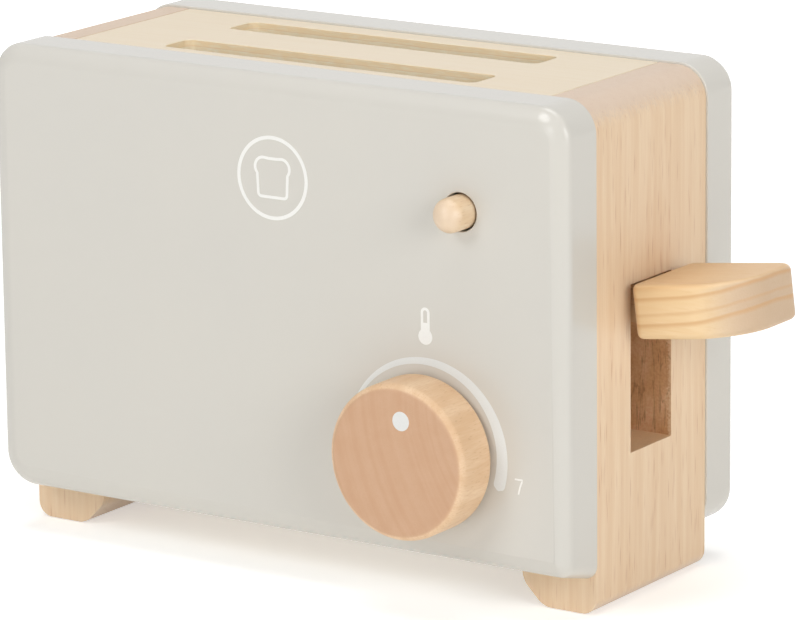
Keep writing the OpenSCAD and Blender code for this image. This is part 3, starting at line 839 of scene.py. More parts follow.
@dataclass(frozen=True)
class TurnedBeech(Wood):
    """Beech turned with the grain along the lathe's axis: faint year rings cross its end grain face."""

    heart: Pair = (105.0, 62.0)
    ring: float = 2.6
    ring_tone: str = "#BF8C66"

    def marked(self, tree: Tree, source: Node, colour: Socket) -> Socket:
        """Draws the year rings on the face.

        Args:
            tree: The material's tree.
            source: The node with the piece's Object coordinates and its surface's direction.
            colour: The wood's colour.

        Returns:
            The colour's socket.
        """
        where, facing = source.outputs["Object"], source.outputs["Normal"]
        heart = place(self.heart[0], 0, self.heart[1])
        flat = add(tree, "ShaderNodeVectorMath", {0: where, 1: heart}, operation="SUBTRACT")
        flat = add(tree, "ShaderNodeVectorMath", {0: flat, 1: (1 / MM, 0, 1 / MM)}, operation="MULTIPLY")
        ripple = add(tree, "ShaderNodeTexNoise", {"Vector": where, "Scale": 60.0, "Detail": 2.0})
        reach = add(tree, "ShaderNodeVectorMath", {0: flat}, 1, operation="LENGTH")
        reach = add(tree, "ShaderNodeMath", {0: ripple, 1: 2.0, 2: reach}, operation="MULTIPLY_ADD")
        reach = add(tree, "ShaderNodeMath", {0: reach, 1: self.ring}, operation="DIVIDE")
        rings = add(
            tree, "ShaderNodeTexNoise", {"W": reach, "Scale": 1.0, "Detail": 2.0, "Roughness": 0.6},
            noise_dimensions="1D",
        )
        rings = add(
            tree, "ShaderNodeMapRange", {"Value": rings, "From Min": 0.35, "From Max": 0.68, "To Max": 0.2},
            **SOFT,
        )
        front = add(tree, "ShaderNodeVectorMath", {0: facing, 1: (0, -1, 0)}, 1, operation="DOT_PRODUCT")
        front = add(
            tree, "ShaderNodeMapRange", {"Value": front, "From Min": self.face_from[0], "From Max": 1.0}
        )
        share = add(tree, "ShaderNodeMath", {0: rings, 1: front}, operation="MULTIPLY")
        return layered(tree, colour, (share, self.ring_tone))


@dataclass(frozen=True)
class SprayedPaint(Finish):
    """Satin water-based paint, sprayed on sanded board: an even grey with a faint orange-peel skin."""

    name: str = "sprayed_satin_paint"
    colour: str = "#D5D1C8"
    cooler: str = "#D1CEC7"
    # Clouds in a metre, each about 45 mm wide, and the width of the skin's dimples.
    clouds: float = 22.0
    peel: float = 1.1
    roughness: float = 0.2

    def drawn(self, tree: Tree, source: Node) -> dict[str, Any]:
        """Draws faint clouds and the paint's skin.

        Args:
            tree: The material's tree.
            source: The node with the piece's Object coordinates.

        Returns:
            What goes into the shader's sockets.
        """
        where = source.outputs["Object"]
        cloud = add(tree, "ShaderNodeTexNoise", {"Vector": where, "Scale": self.clouds, "Detail": 3.0})
        peel = add(tree, "ShaderNodeTexNoise", {"Vector": where, "Scale": 1000 / self.peel, "Detail": 2.0})
        satin = {"Value": peel, "To Min": self.roughness - 0.04, "To Max": self.roughness + 0.06}
        return {
            "Base Color": layered(tree, self.colour, (cloud, self.cooler)),
            "Roughness": add(tree, "ShaderNodeMapRange", satin),
            "Normal": add(tree, "ShaderNodeBump", {"Height": peel, "Strength": 0.25, "Distance": 0.02 * MM}),
            "IOR": 1.48,
        }


@dataclass(frozen=True)
class ScreenInk(Finish):
    """White ink, screen printed: flat and chalky, with a fine mesh grain."""

    name: str = "screen_printed_ink"
    colour: str = "#F5F4F0"
    thin: str = "#ECEBE6"
    # A real screen's threads are about 0.2 mm apart. The grain is drawn coarser, so that it shows.
    grain: float = 0.4

    def drawn(self, tree: Tree, source: Node) -> dict[str, Any]:
        """Draws the grain that the screen's mesh leaves.

        Args:
            tree: The material's tree.
            source: The node with the piece's Object coordinates.

        Returns:
            What goes into the shader's sockets.
        """
        where = source.outputs["Object"]
        mesh = add(tree, "ShaderNodeTexNoise", {"Vector": where, "Scale": 1000 / self.grain})
        return {
            "Base Color": layered(tree, self.colour, (mesh, self.thin)),
            "Roughness": 0.6,
            "Normal": add(tree, "ShaderNodeBump", {"Height": mesh, "Strength": 0.2, "Distance": 0.01 * MM}),
        }


@dataclass(frozen=True)
class DrawnSteel(Finish):
    """Bright drawn steel wire and rod, with fine upright draw marks."""

    name: str = "drawn_steel"
    colour: str = "#BDBEC1"
    darker: str = "#93959A"
    # Real draw marks are under 0.1 mm apart. They are drawn coarser, so that they show.
    marks: Pair = (0.25, 12.0)

    def drawn(self, tree: Tree, source: Node) -> dict[str, Any]:
        """Draws the draw marks.

        Args:
            tree: The material's tree.
            source: The node with the piece's Object coordinates.

        Returns:
            What goes into the shader's sockets.
        """
        marks = stretched_noise(tree, source.outputs["Object"], cells(*self.marks), 3.0)
        return {
            "Base Color": layered(tree, self.colour, (marks, self.darker)),
            "Metallic": 1.0,
            "Roughness": add(tree, "ShaderNodeMapRange", {"Value": marks, "To Min": 0.22, "To Max": 0.42}),
            "Normal": add(tree, "ShaderNodeBump", {"Height": marks, "Strength": 0.3, "Distance": 0.01 * MM}),
        }


@dataclass(frozen=True)
class PressedFelt(Finish):
    """Pressed wool felt: grey, dull and full of short tangled fibres."""

    name: str = "pressed_wool_felt"
    colour: str = "#6A6A6C"
    dark: str = "#3F3F42"
    # Real wool fibres are about 0.03 mm thick. They are drawn coarser, so that they show.
    fibre: float = 0.35

    def drawn(self, tree: Tree, source: Node) -> dict[str, Any]:
        """Draws the tangle.

        Args:
            tree: The material's tree.
            source: The node with the piece's Object coordinates.

        Returns:
            What goes into the shader's sockets.
        """
        look = {"Scale": 1000 / self.fibre, "Detail": 4.0, "Distortion": 1.5}
        tangle = add(tree, "ShaderNodeTexNoise", {"Vector": source.outputs["Object"], **look})
        return {
            "Base Color": layered(tree, self.dark, (tangle, self.colour)),
            "Roughness": 0.95,
            "Normal": add(tree, "ShaderNodeBump", {"Height": tangle, "Strength": 0.8, "Distance": 0.2 * MM}),
            "Sheen Weight": 0.3,
        }


# Each wood's pale, deep, pore and face tone.
RUBBERWOOD = ("#ECD2B2", "#E5C6A3", "#BC825C", "#D9C5B4")
BEECH = ("#E3C49B", "#D3AC80", "#A97B50", "#D9BE9A")


@dataclass(frozen=True)
class Finishes:
    """Every finish on the toaster, made once."""

    # The satin paint looks even and cool, and the inks lie flat and chalky on it.
    paint: Material = field(default_factory=SprayedPaint().build)
    ink: Material = field(default_factory=ScreenInk().build)
    dial: Material = field(default_factory=ScreenInk("screen_printed_dial", "#E7EAE9", "#E0E3E2").build)
    dot: Material = field(default_factory=ScreenInk("screen_printed_dot", "#E6E6E4", "#DEDEDB").build)
    # Rubberwood is cream with short brown pores, and greyer where its end grain looks up or down.
    block: Material = field(default_factory=Wood(
        "sanded_rubberwood", *RUBBERWOOD, shift=(0.3, 0.1, 0), ragged=0.3, face_share=0.76,
    ).build)
    # The slotted block's slot has bare brown walls, and a painted light on the slot's floor, which looks up.
    slotted_block: Material = field(default_factory=SlottedRubberwood(
        "sanded_rubberwood_with_slot", *RUBBERWOOD, ragged=0.3, face_share=0.76,
    ).build)
    # Birch plywood is almost white and close-grained, with its layers showing on the cut edges.
    top: Material = field(default_factory=Plywood(
        "birch_plywood_top", "#ECDDC5", "#E3CFB1", "#C9AC86", "#ECDDC5", Grain.ALONG_X,
        streak=(14.0, 160.0), fibre=(0.8, 30.0), pore_strength=0.2, fibre_strength=0.25, relief=0.015,
    ).build)
    base: Material = field(default_factory=Plywood(
        "birch_plywood_base", "#E9D8BC", "#DFC9A8", "#C3A47C", "#E8D6B8", Grain.ALONG_X,
        shift=(0.1, 0.2, 0.1), under=10.7, layer=1.2, pore_strength=0.2,
    ).build)
    rail: Material = field(default_factory=Plywood(
        "birch_plywood_rails", "#E6D2B2", "#DBC29C", "#C3A47C", "#E8D6B8", Grain.ALONG_X,
        shift=(0.2, 0.1, 0.3), under=80.0, layer=1.6,
    ).build)
    # Pine is straw yellow with long orange streaks, or on the handle with year rings and a painted shade on
    # the faces that look up.
    batten: Material = field(default_factory=Wood(
        "planed_pine_battens", "#F0D6AE", "#E0B47C", "#C58F55", "#DDC09A", Grain.ALONG_X,
        face_axis=(1, 0, 0), streak=(3.0, 140.0), fibre_strength=0.3,
    ).build)
    handle: Material = field(default_factory=Pine(
        "sanded_pine_handle", "#F2D8B0", "#E9C797", "#D2A163", "#CBAF93", Grain.ALONG_X,
        face_axis=(1, 0, 0), streak=(7.0, 60.0), fibre=(0.5, 18.0), pore_strength=0.12,
        fibre_strength=0.25, relief=0.02,
    ).build)
    # Sanded beech is a pinkish tan, flecked with short dark pores along the grain.
    beech: Material = field(default_factory=Wood(
        "sanded_beech", *BEECH, Grain.ALONG_X,
        face_axis=(1, 0, 0), pores=(0.9, 4.5), streak=(6.0, 70.0), pore_strength=0.7,
    ).build)
    upright_beech: Material = field(default_factory=Wood(
        "upright_sanded_beech", *BEECH, pores=(0.9, 4.5), streak=(6.0, 70.0), pore_strength=0.7,
    ).build)
    rod_beech: Material = field(default_factory=Wood(
        "turned_beech_rod", *BEECH, Grain.ALONG_Y,
        face_axis=(0, 1, 0), pores=(0.8, 4.0), streak=(3.0, 50.0), pore_strength=0.7,
    ).build)
    # Turned birch is pale and shines a little, because the lathe burnishes it.
    button: Material = field(default_factory=Wood(
        "turned_birch_button", "#EBD4B5", "#E0C19B", "#BC8F62", "#E6CEB3", Grain.ALONG_Y,
        face_axis=(0, 1, 0), pores=(0.7, 5.0), streak=(2.5, 30.0), fibre=(0.4, 8.0), roughness=0.36,
    ).build)
    # Turned beech is a warm brown with coarse fibres, and its end grain face is darker.
    knob: Material = field(default_factory=TurnedBeech(
        "turned_beech_knob", "#EBCCA9", "#DCB68E", "#B5845A", "#C99F7F", Grain.ALONG_Y,
        face_axis=(0, 1, 0), shift=(0.05, 0.3, 0.02), face_from=(0.82, 0.98), streak=(5.0, 30.0),
        fibre=(0.42, 4.5), pores=(0.6, 3.0), pore_strength=0.35, fibre_strength=0.65, roughness=0.5,
    ).build)
    # Drawn steel is bright and streaked, and felt is grey, dull and tangled.
    steel: Material = field(default_factory=DrawnSteel().build)
    felt: Material = field(default_factory=PressedFelt().build)


# ---- Pieces that Geometry Nodes grow ----


def new_tree(name: str, sizes: dict[str, float]) -> tuple[Tree, dict[str, Socket]]:
    """Starts a Geometry Nodes tree with named sizes.

    Args:
        name: The tree's name.
        sizes: Each size's name and first value, in metres or as a plain number.

    Returns:
        The tree and its input node's sockets by name.
    """
    tree = bpy.data.node_groups.new(name, "GeometryNodeTree")
    tree.interface.new_socket("Geometry", in_out="INPUT", socket_type="NodeSocketGeometry")
    for label, value in sizes.items():
        tree.interface.new_socket(label, in_out="INPUT", socket_type="NodeSocketFloat").default_value = value
    tree.interface.new_socket("Direction", in_out="INPUT", socket_type="NodeSocketVector")
    tree.interface.new_socket("Geometry", in_out="OUTPUT", socket_type="NodeSocketGeometry")
    given = add(tree, "NodeGroupInput").node.outputs
    return tree, {socket.name: socket for socket in given if socket.name}


def set_out(tree: Tree, shape: Socket, given: dict[str, Socket], material: Material) -> None:
    """Ends a tree: one copy of the shape at each place, real and with its finish.

    Args:
        tree: The tree.
        shape: The shape's socket, pointing up from its own place.
        given: The sockets of the tree's input node.
        material: The finish.
    """
    smooth = add(tree, "GeometryNodeSetShadeSmooth", {"Geometry": shape})
    turn = add(tree, "FunctionNodeAlignRotationToVector", {"Vector": given["Direction"]}, axis="Z")
    spread = {"Points": given["Geometry"], "Instance": smooth, "Rotation": turn}
    copies = add(tree, "GeometryNodeInstanceOnPoints", spread)
    real = add(tree, "GeometryNodeRealizeInstances", {0: copies})
    dressed = add(tree, "GeometryNodeSetMaterial", {"Geometry": real, "Material": material})
    add(tree, "NodeGroupOutput", {0: dressed})


def grow(name: str, tree: Tree, places: Sequence[Vector], sizes: dict[str, Any]) -> Piece:
    """Runs a tree on its places and keeps the result as a plain mesh.

    Args:
        name: The piece's name.
        tree: The Geometry Nodes tree.
        places: Where its copies stand.
        sizes: The values of its inputs by name.

    Returns:
        The piece.
    """
    spots = bpy.data.meshes.new(name + "_places")
    spots.from_pydata([tuple(p) for p in places], [], [])
    holder = linked(name + "_places", spots)
    modifier = holder.modifiers.new("grow", "NODES")
    modifier.node_group = tree
    sockets = {i.name: i.identifier for i in tree.interface.items_tree if i.in_out == "INPUT"}
    for label, value in sizes.items():
        modifier[sockets[label]] = value
    graph = bpy.context.evaluated_depsgraph_get()
    made = bpy.data.meshes.new_from_object(holder.evaluated_get(graph), depsgraph=graph)
    holder.modifiers.clear()
    bpy.data.objects.remove(holder)
    finish = made.materials[0]
    bm = bmesh.new()
    bm.from_mesh(made)
    bpy.data.meshes.remove(made)
    return solid(name, bm, finish)


def spring_tree(material: Material) -> Tree:
    """Draws the tree of a compression spring, whose first and last curl lie closed.

    Args:
        material: The wire's finish.

    Returns:
        The tree.
    """
    sizes = {"Radius": 0.005, "Length": 0.05, "Curls": 12, "Wire": 0.001}
    tree, given = new_tree("compression_spring", sizes)
    radius, length, curls, wire = (given[size] for size in ("Radius", "Length", "Curls", "Wire"))
    turns = {"Resolution": 28, "Rotations": curls, "Start Radius": radius, "End Radius": radius}
    spiral = add(tree, "GeometryNodeCurveSpiral", {**turns, "Height": length})
    along = add(tree, "GeometryNodeSplineParameter", out="Factor")
    curl = add(tree, "ShaderNodeMath", {0: along, 1: curls}, operation="MULTIPLY")
    last = add(tree, "ShaderNodeMath", {0: curls, 1: 1.0}, operation="SUBTRACT")
    room = add(tree, "ShaderNodeMath", {0: wire, 1: -3.1, 2: length}, operation="MULTIPLY_ADD")
    closed = add(tree, "ShaderNodeMath", {0: wire, 1: 1.05}, operation="MULTIPLY")
    low = add(tree, "ShaderNodeMapRange", {"Value": curl, "To Max": closed})
    between = {"Value": curl, "From Min": 1.0, "From Max": last, "To Max": room}
    open_part = add(tree, "ShaderNodeMapRange", between)
    high = add(
        tree, "ShaderNodeMapRange", {"Value": curl, "From Min": last, "From Max": curls, "To Max": closed}
    )
    rise = add(tree, "ShaderNodeMath", {0: low, 1: open_part}, operation="ADD")
    rise = add(tree, "ShaderNodeMath", {0: rise, 1: high}, operation="ADD")
    rise = add(tree, "ShaderNodeMath", {0: wire, 1: 0.5, 2: rise}, operation="MULTIPLY_ADD")
    x, y, _ = add(tree, "ShaderNodeSeparateXYZ", {0: add(tree, "GeometryNodeInputPosition")}).node.outputs
    spot = add(tree, "ShaderNodeCombineXYZ", {"X": x, "Y": y, "Z": rise})
    path = add(tree, "GeometryNodeSetPosition", {"Geometry": spiral, "Position": spot})
    half = add(tree, "ShaderNodeMath", {0: wire, 1: 0.5}, operation="MULTIPLY")
    ring = add(tree, "GeometryNodeCurvePrimitiveCircle", {"Resolution": 10, "Radius": half})
    coil = add(tree, "GeometryNodeCurveToMesh", {"Curve": path, "Profile Curve": ring, "Fill Caps": True})
    set_out(tree, coil, given, material)
    return tree


class ScrewHead(Enum):
    """The heads of the toaster's screws, as the share of the head's width at its lower side."""

    SUNK = 1.0
    PAN = 0.8


def screw_tree(head: ScrewHead, material: Material) -> Tree:
    """Draws the tree of a wood screw with a cross recess, its head's outer face at height 0.

    Args:
        head: The shape of its head.
        material: Its finish.

    Returns:
        The tree.
    """
    tree, given = new_tree(
        head.name.lower() + "_head_screw",
        {"Head Width": 0.006, "Head Height": 0.0018, "Shank Width": 0.003, "Shank Length": 0.01},
    )
    wide, thin, long, slim, tall = (
        add(tree, "ShaderNodeMath", {0: given[size], 1: share}, operation="MULTIPLY")
        for size, share in (
            ("Head Width", 0.5), ("Shank Width", 0.5), ("Head Width", 0.62), ("Head Width", 0.15),
            ("Head Height", 1.3),
        )
    )
    outer = add(tree, "ShaderNodeMath", {0: wide, 1: head.value}, operation="MULTIPLY")
    cone = {
        "Vertices": 40, "Side Segments": 3, "Radius Bottom": outer,
        "Radius Top": thin if head is ScrewHead.SUNK else wide, "Depth": given["Head Height"],
    }
    top = add(tree, "GeometryNodeMeshCone", cone)
    deep = {0: given["Shank Length"], 1: 0.5, 2: given["Head Height"]}
    deep = add(tree, "ShaderNodeMath", deep, operation="MULTIPLY_ADD")
    middle = add(tree, "ShaderNodeCombineXYZ", {"Z": deep})
    # The thread is drawn as rings: the shank's side segments zigzag between crest and root.
    rod = {"Vertices": 24, "Side Segments": 20, "Radius": thin, "Depth": given["Shank Length"]}
    rod = add(tree, "GeometryNodeMeshCylinder", rod)
    spot = add(tree, "GeometryNodeInputPosition")
    height = add(tree, "ShaderNodeSeparateXYZ", {0: spot}, 2)
    tooth = add(tree, "ShaderNodeMath", {0: given["Shank Length"], 1: 10.0}, operation="DIVIDE")
    tooth = add(tree, "ShaderNodeMath", {0: height, 1: tooth}, operation="PINGPONG")
    tooth = {"Value": tooth, "From Min": 0.0, "From Max": 0.0006, "To Min": 1.0, "To Max": 0.82}
    tooth = add(tree, "ShaderNodeMapRange", tooth)
    flat = add(tree, "ShaderNodeCombineXYZ", {"X": tooth, "Y": tooth, "Z": 1.0})
    thread = add(tree, "ShaderNodeVectorMath", {0: spot, 1: flat}, operation="MULTIPLY")
    rod = add(tree, "GeometryNodeSetPosition", {"Geometry": rod, "Position": thread})
    rod = add(tree, "GeometryNodeTransform", {"Geometry": rod, "Translation": middle})
    bars = []
    for x, y in ((long, slim), (slim, long)):
        size = add(tree, "ShaderNodeCombineXYZ", {"X": x, "Y": y, "Z": tall})
        bars.append(add(tree, "GeometryNodeMeshCube", {"Size": size}))
    cut = add(tree, "GeometryNodeMeshBoolean", {"Mesh 1": top}, operation="DIFFERENCE")
    for bar in bars:
        tree.links.new(bar, cut.node.inputs["Mesh 2"])
    both = add(tree, "GeometryNodeJoinGeometry")
    for part in (rod, cut):
        tree.links.new(part, both.node.inputs[0])
    set_out(tree, both, given, material)
    return tree


@dataclass(frozen=True)
class Spring:
    """A compression spring, and how far its joint presses it."""

    radius: float
    length: float
    wire: float
    curls: int
    travel: float

    def coil(self, name: str, starts: Sequence[Vector], way: Triple, material: Material) -> Piece:
        """Coils equal springs.

        Args:
            name: The piece's name.
            starts: Where their first ends lie.
            way: Which way they point.
            material: The wire's finish.

        Returns:
            The piece.
        """
        sizes = {
            "Radius": self.radius * MM, "Length": self.length * MM, "Curls": float(self.curls),
            "Wire": self.wire * MM, "Direction": way,
        }
        return grow(name, spring_tree(material), starts, sizes)

    def keep(self) -> float:
        """Gives the share of its length that is left when it is pressed."""
        return (self.length - self.travel) / self.length


@dataclass(frozen=True)
class Screw:
    """A wood screw."""

    shank_length: float
    head: ScrewHead = ScrewHead.SUNK
    head_width: float = 6
    head_height: float = 1.8
    shank_width: float = 3

    def drive(self, name: str, places: Sequence[Vector], way: Triple, material: Material) -> Piece:
        """Drives equal screws in.

        Args:
            name: The piece's name.
            places: Where their heads' outer faces lie.
            way: Which way their tips point.
            material: Their finish.

        Returns:
            The piece.
        """
        sizes = {
            "Head Width": self.head_width * MM, "Head Height": self.head_height * MM,
            "Shank Width": self.shank_width * MM, "Shank Length": self.shank_length * MM, "Direction": way,
        }
        return grow(name, screw_tree(self.head, material), places, sizes)


# ---- Sub-assemblies ----


@dataclass
class Assembly:
    """A group of pieces that are built and dressed together."""

    finish: Finishes

    def fit(self, piece: Piece, body: str, slot: str, *nodes: str) -> Piece:
        """Puts a finished piece on its body.

        Args:
            piece: The piece.
            body: The CAD body that carries it.
            slot: The record's material slot. It is not used.
            nodes: The CAD nodes that it stands for.

        Returns:
            The piece.
        """
        if nodes:
            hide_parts(*nodes)
        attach(piece, body)
        LOG.info("%s rides on %s, %d faces", piece.name, body, len(piece.data.polygons))
        return piece

    def sand(self, body: str, slot: str, material: Material, width: float, *nodes: str) -> None:
        """Fits sanded copies of CAD nodes, whose edges are rounded over this width."""
        for node in nodes:
            self.fit(sanded(node, material, width), body, slot, node)


@dataclass
class PaintedPanels(Assembly):
    """The front and back panel: painted boards with bevelled edges. Only the front's lower edge slopes."""

    width: float = 184
    height: float = 127
    lift: float = 9.7
    thickness: float = 15
    inner: float = 27.7
    corner: float = 9
    tight_corner: float = 4
    edge: float = 3.5
    bevel: tuple[Pair, ...] = (
        (3.4, 0), (2.9, 0.05), (2.4, 0.2), (2.0, 0.42), (1.65, 0.75), (1.35, 1.15),
        (0.95, 1.9), (0.62, 2.6), (0.36, 3.3), (0.17, 4.0), (0.05, 4.6), (0, 5.2),
    )
    slope: float = 4.0
    button: Triple = (59.8, 106.9, 5.1)
    axle: Triple = (49.0, 42.0, 4.08)

    def build(self) -> None:
        """Builds both panels."""
        middle = self.lift + self.height / 2
        bores = tuple(Hole(x, z - middle, r) for x, z, r in (self.button, self.axle))
        for node, side, lower_right, slope, holes in (
            ("front_panel", -1, self.tight_corner, self.slope, bores),
            ("back_panel", 1, self.corner, 0, ()),
        ):
            board = Board(
                self.width, self.height, self.thickness, (self.corner, lower_right, self.corner, self.corner),
                self.edge, slope=slope, holes=holes, bevel=self.bevel,
            )
            panel = board.cut(
                "painted_" + node,
                lambda x, y, d: place(x, side * (self.inner + d), middle + y),
                self.finish.paint,
            )
            self.fit(panel, "box", "panel_paint", node)


@dataclass
class EndBlocks(Assembly):
    """The two end blocks, which are the toaster's feet, and the dowels that hold the panels."""

    chamfer: float = 6.5
    rounding: float = 4.2
    foot: float = 9.0
    inner_x: float = 68.7
    outer_x: float = 91.35
    panel_y: float = 27.7
    shy: float = 0.4
    slot: Triple = (10.25, 39.95, 85.05)
    saw_reach: float = 1.0

    def on_chamfer(self, edge: bmesh.types.BMEdge) -> bool:
        """Tells if an edge bounds the sloped inner side of a foot.

        Args:
            edge: The edge.

        Returns:
            True if it does.
        """
        top, side = (self.chamfer + 0.05) * MM, (self.inner_x + self.chamfer + 0.05) * MM
        low = all(v.co.z < top and abs(v.co.x - MIDDLE_X) < side for v in edge.verts)
        a, b = edge.verts
        along = abs(a.co.y - b.co.y) > 0.9 * (a.co - b.co).length
        slanted = any(0.1 < abs(f.normal.x) < 0.95 and f.normal.z < -0.1 for f in edge.link_faces)
        return low and along and slanted

    def new_foot(self, side: int) -> list[Step]:
        """Gives the steps that saw off a block's foot and glue on one with a round outer lower edge.

        Args:
            side: -1 for the left block, 1 for the right one.

        Returns:
            The steps for carved().
        """
        inner, outer, r, c, top = self.inner_x, self.outer_x, self.rounding, self.chamfer, self.foot
        more, y = self.saw_reach, self.panel_y
        waste = [(inner - more, -more), (outer + more, -more), (outer + more, top), (inner - more, top)]
        shape = [(inner, top), (inner, c), (inner + c, 0), *arc((outer - r, r), r, -90, 0, 10), (outer, top)]
        return [
            (step, *([place(side * x, end, z) for x, z in outline] for end in (-reach, reach)))
            for step, outline, reach in (("DIFFERENCE", waste, y + more), ("UNION", shape, y))
        ]

    def build(self) -> None:
        """Builds the blocks and dresses the dowels."""
        half, low, high = self.slot
        around = [(-half, low), (half, low), (half, high), (-half, high)]
        ends = ([place(x, y, z) for y, z in around] for x in (self.inner_x - self.saw_reach, 100))
        sawn = ("DIFFERENCE", *ends)
        for side, node, material, more in (
            (-1, "left_end_block", self.finish.block, []),
            (1, "right_end_block", self.finish.slotted_block, [sawn]),
        ):
            shape = carved(node, [*self.new_foot(side), *more])
            block = sanded(node, material, 0.45, self.on_chamfer, 2.2, shape)
            for vertex in block.data.vertices:
                if vertex.co.y > MIDDLE_Y + (self.panel_y - 0.01) * MM:
                    vertex.co.y -= self.shy * MM
            self.fit(block, "box", "rubberwood", node)
        self.sand("box", "beech", self.finish.rod_beech, 0.5, "front_dowels", "back_dowels")


@dataclass
class TopAndBase(Assembly):
    """The slotted top, and the bottom plate with its battens and screws."""

    screw_span: float = 100
    screw_y: float = 22.7
    base_z: float = 10.7
    screw: Screw = Screw(11.2)
    seam: float = 0.2
    edge: float = 0.3
    slot: Slot = Slot(0, 15, 2.5, half_length=50.2)

    def build(self) -> None:
        """Builds the plates, the battens and the screws."""
        self.top()
        self.sand("box", "plywood", self.finish.base, 0.35, "bottom_plate")
        self.sand("box", "pine", self.finish.batten, 0.5, "front_batten", "back_batten")
        half = self.screw_span / 2
        places = [place(a * half, b * self.screw_y, self.base_z) for a in (-1, 1) for b in (-1, 1)]
        screws = self.screw.drive("sunk_base_screws", places, (0, 0, 1), self.finish.steel)
        self.fit(screws, "box", "steel", "base_screws")

    def top(self) -> None:
        """Saws the top with its two bread slots, and leaves a thin seam beside each end block."""
        low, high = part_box("top_plate")
        middle, size = (low + high) / 2, (high - low) / MM

        def put(x: float, y: float, depth: float) -> Vector:
            """Turns a point of the plate into the frame."""
            return Vector((middle.x + x * MM, middle.y + y * MM, low.z + depth * MM))

        holes = tuple(replace(self.slot, y=side * self.slot.y) for side in (-1, 1))
        radii = (self.edge,) * 4
        board = Board(size.x - 2 * self.seam, size.y, size.z, radii, self.edge, self.edge, holes=holes)
        self.fit(board.cut("slotted_top_plate", put, self.finish.top), "box", "plywood", "top_plate")


@dataclass
class Lift(Assembly):
    """The sprung lift: two slide blocks on guide rods, which carry the rails under the bread."""

    rod_x: float = 52
    spring_low: float = 16.7
    spring: Spring = Spring(4.9, 53, 1, 12, 32)

    def build(self) -> None:
        """Builds the lift's pieces, the rods and the springs."""
        upright = self.finish.upright_beech
        self.sand("lift", "beech", upright, 0.4, "left_slide_block", "right_slide_block")
        self.sand("lift", "beech", upright, 0.3, "brake_strip")
        self.sand("lift", "plywood", self.finish.rail, 0.4, "front_bread_rail", "back_bread_rail")
        self.sand("box", "steel", self.finish.steel, 0.5, "guide_rods")
        self.springs()

    def springs(self) -> None:
        """Coils the two springs, which the lift presses together."""
        starts = [place(side * self.rod_x, 0, self.spring_low) for side in (-1, 1)]
        springs = self.spring.coil("coiled_lift_springs", starts, (0, 0, 1), self.finish.steel)
        self.fit(springs, "box", "steel", "lift_springs")
        self.spring.keep()
        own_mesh(springs)


@dataclass
class Lever(Assembly):
    """The lever: an arm through the end block, and the shaped handle on it."""

    corner_x: float = 94.5
    corner_z: float = 86.1
    offset: float = 0.5
    length: float = 31.45
    width: float = 31
    thickness: float = 14.5
    tilt: float = 7
    reach: float = 0.8
    rise: float = 0.2
    radii: tuple[float, float, float, float] = (2.5, 17, 4.5, 2.5)
    edge: float = 1.6
    screw_x: float = 101
    screw_z: float = 72.79
    screw: Screw = Screw(6.2)
    counterbore: Pair = (3.2, 0.7)

    def build(self) -> None:
        """Builds the arm, the handle and its screw."""
        self.sand("lift", "beech", self.finish.beech, 0.5, "lever_arm")
        self.sand("lift", "beech", self.finish.upright_beech, 0.3, "arm_pin")
        self.handle()
        head = place(self.screw_x, 0, self.screw_z)
        screw = self.screw.drive("sunk_handle_screw", [head], (0, 0, 1), self.finish.steel)
        self.fit(screw, "lift", "steel", "handle_screw")

    def handle(self) -> None:
        """Shapes the handle, which rises towards its outer end."""
        tilt, inner = math.radians(self.tilt), (self.length - self.reach) / 2
        turn = Matrix.Rotation(-tilt, 3, "Y")
        corner = place(self.corner_x, self.offset, self.corner_z)

        def put(x: float, y: float, depth: float) -> Vector:
            """Turns a point of the level board into the frame."""
            return corner + turn @ Vector((x + inner, y, depth - self.thickness + self.rise)) * MM

        run = (self.screw_x - self.corner_x) * math.cos(tilt)
        drop = (self.screw_z - self.corner_z) * math.sin(tilt)
        counterbore = Hole(run + drop - inner, -self.offset, *self.counterbore)
        board = Board(
            self.length + self.reach, self.width, self.thickness, self.radii, self.edge, self.edge,
            holes=(counterbore,),
        )
        self.fit(board.cut("shaped_lever_handle", put, self.finish.handle), "lift", "pine", "lever_handle")


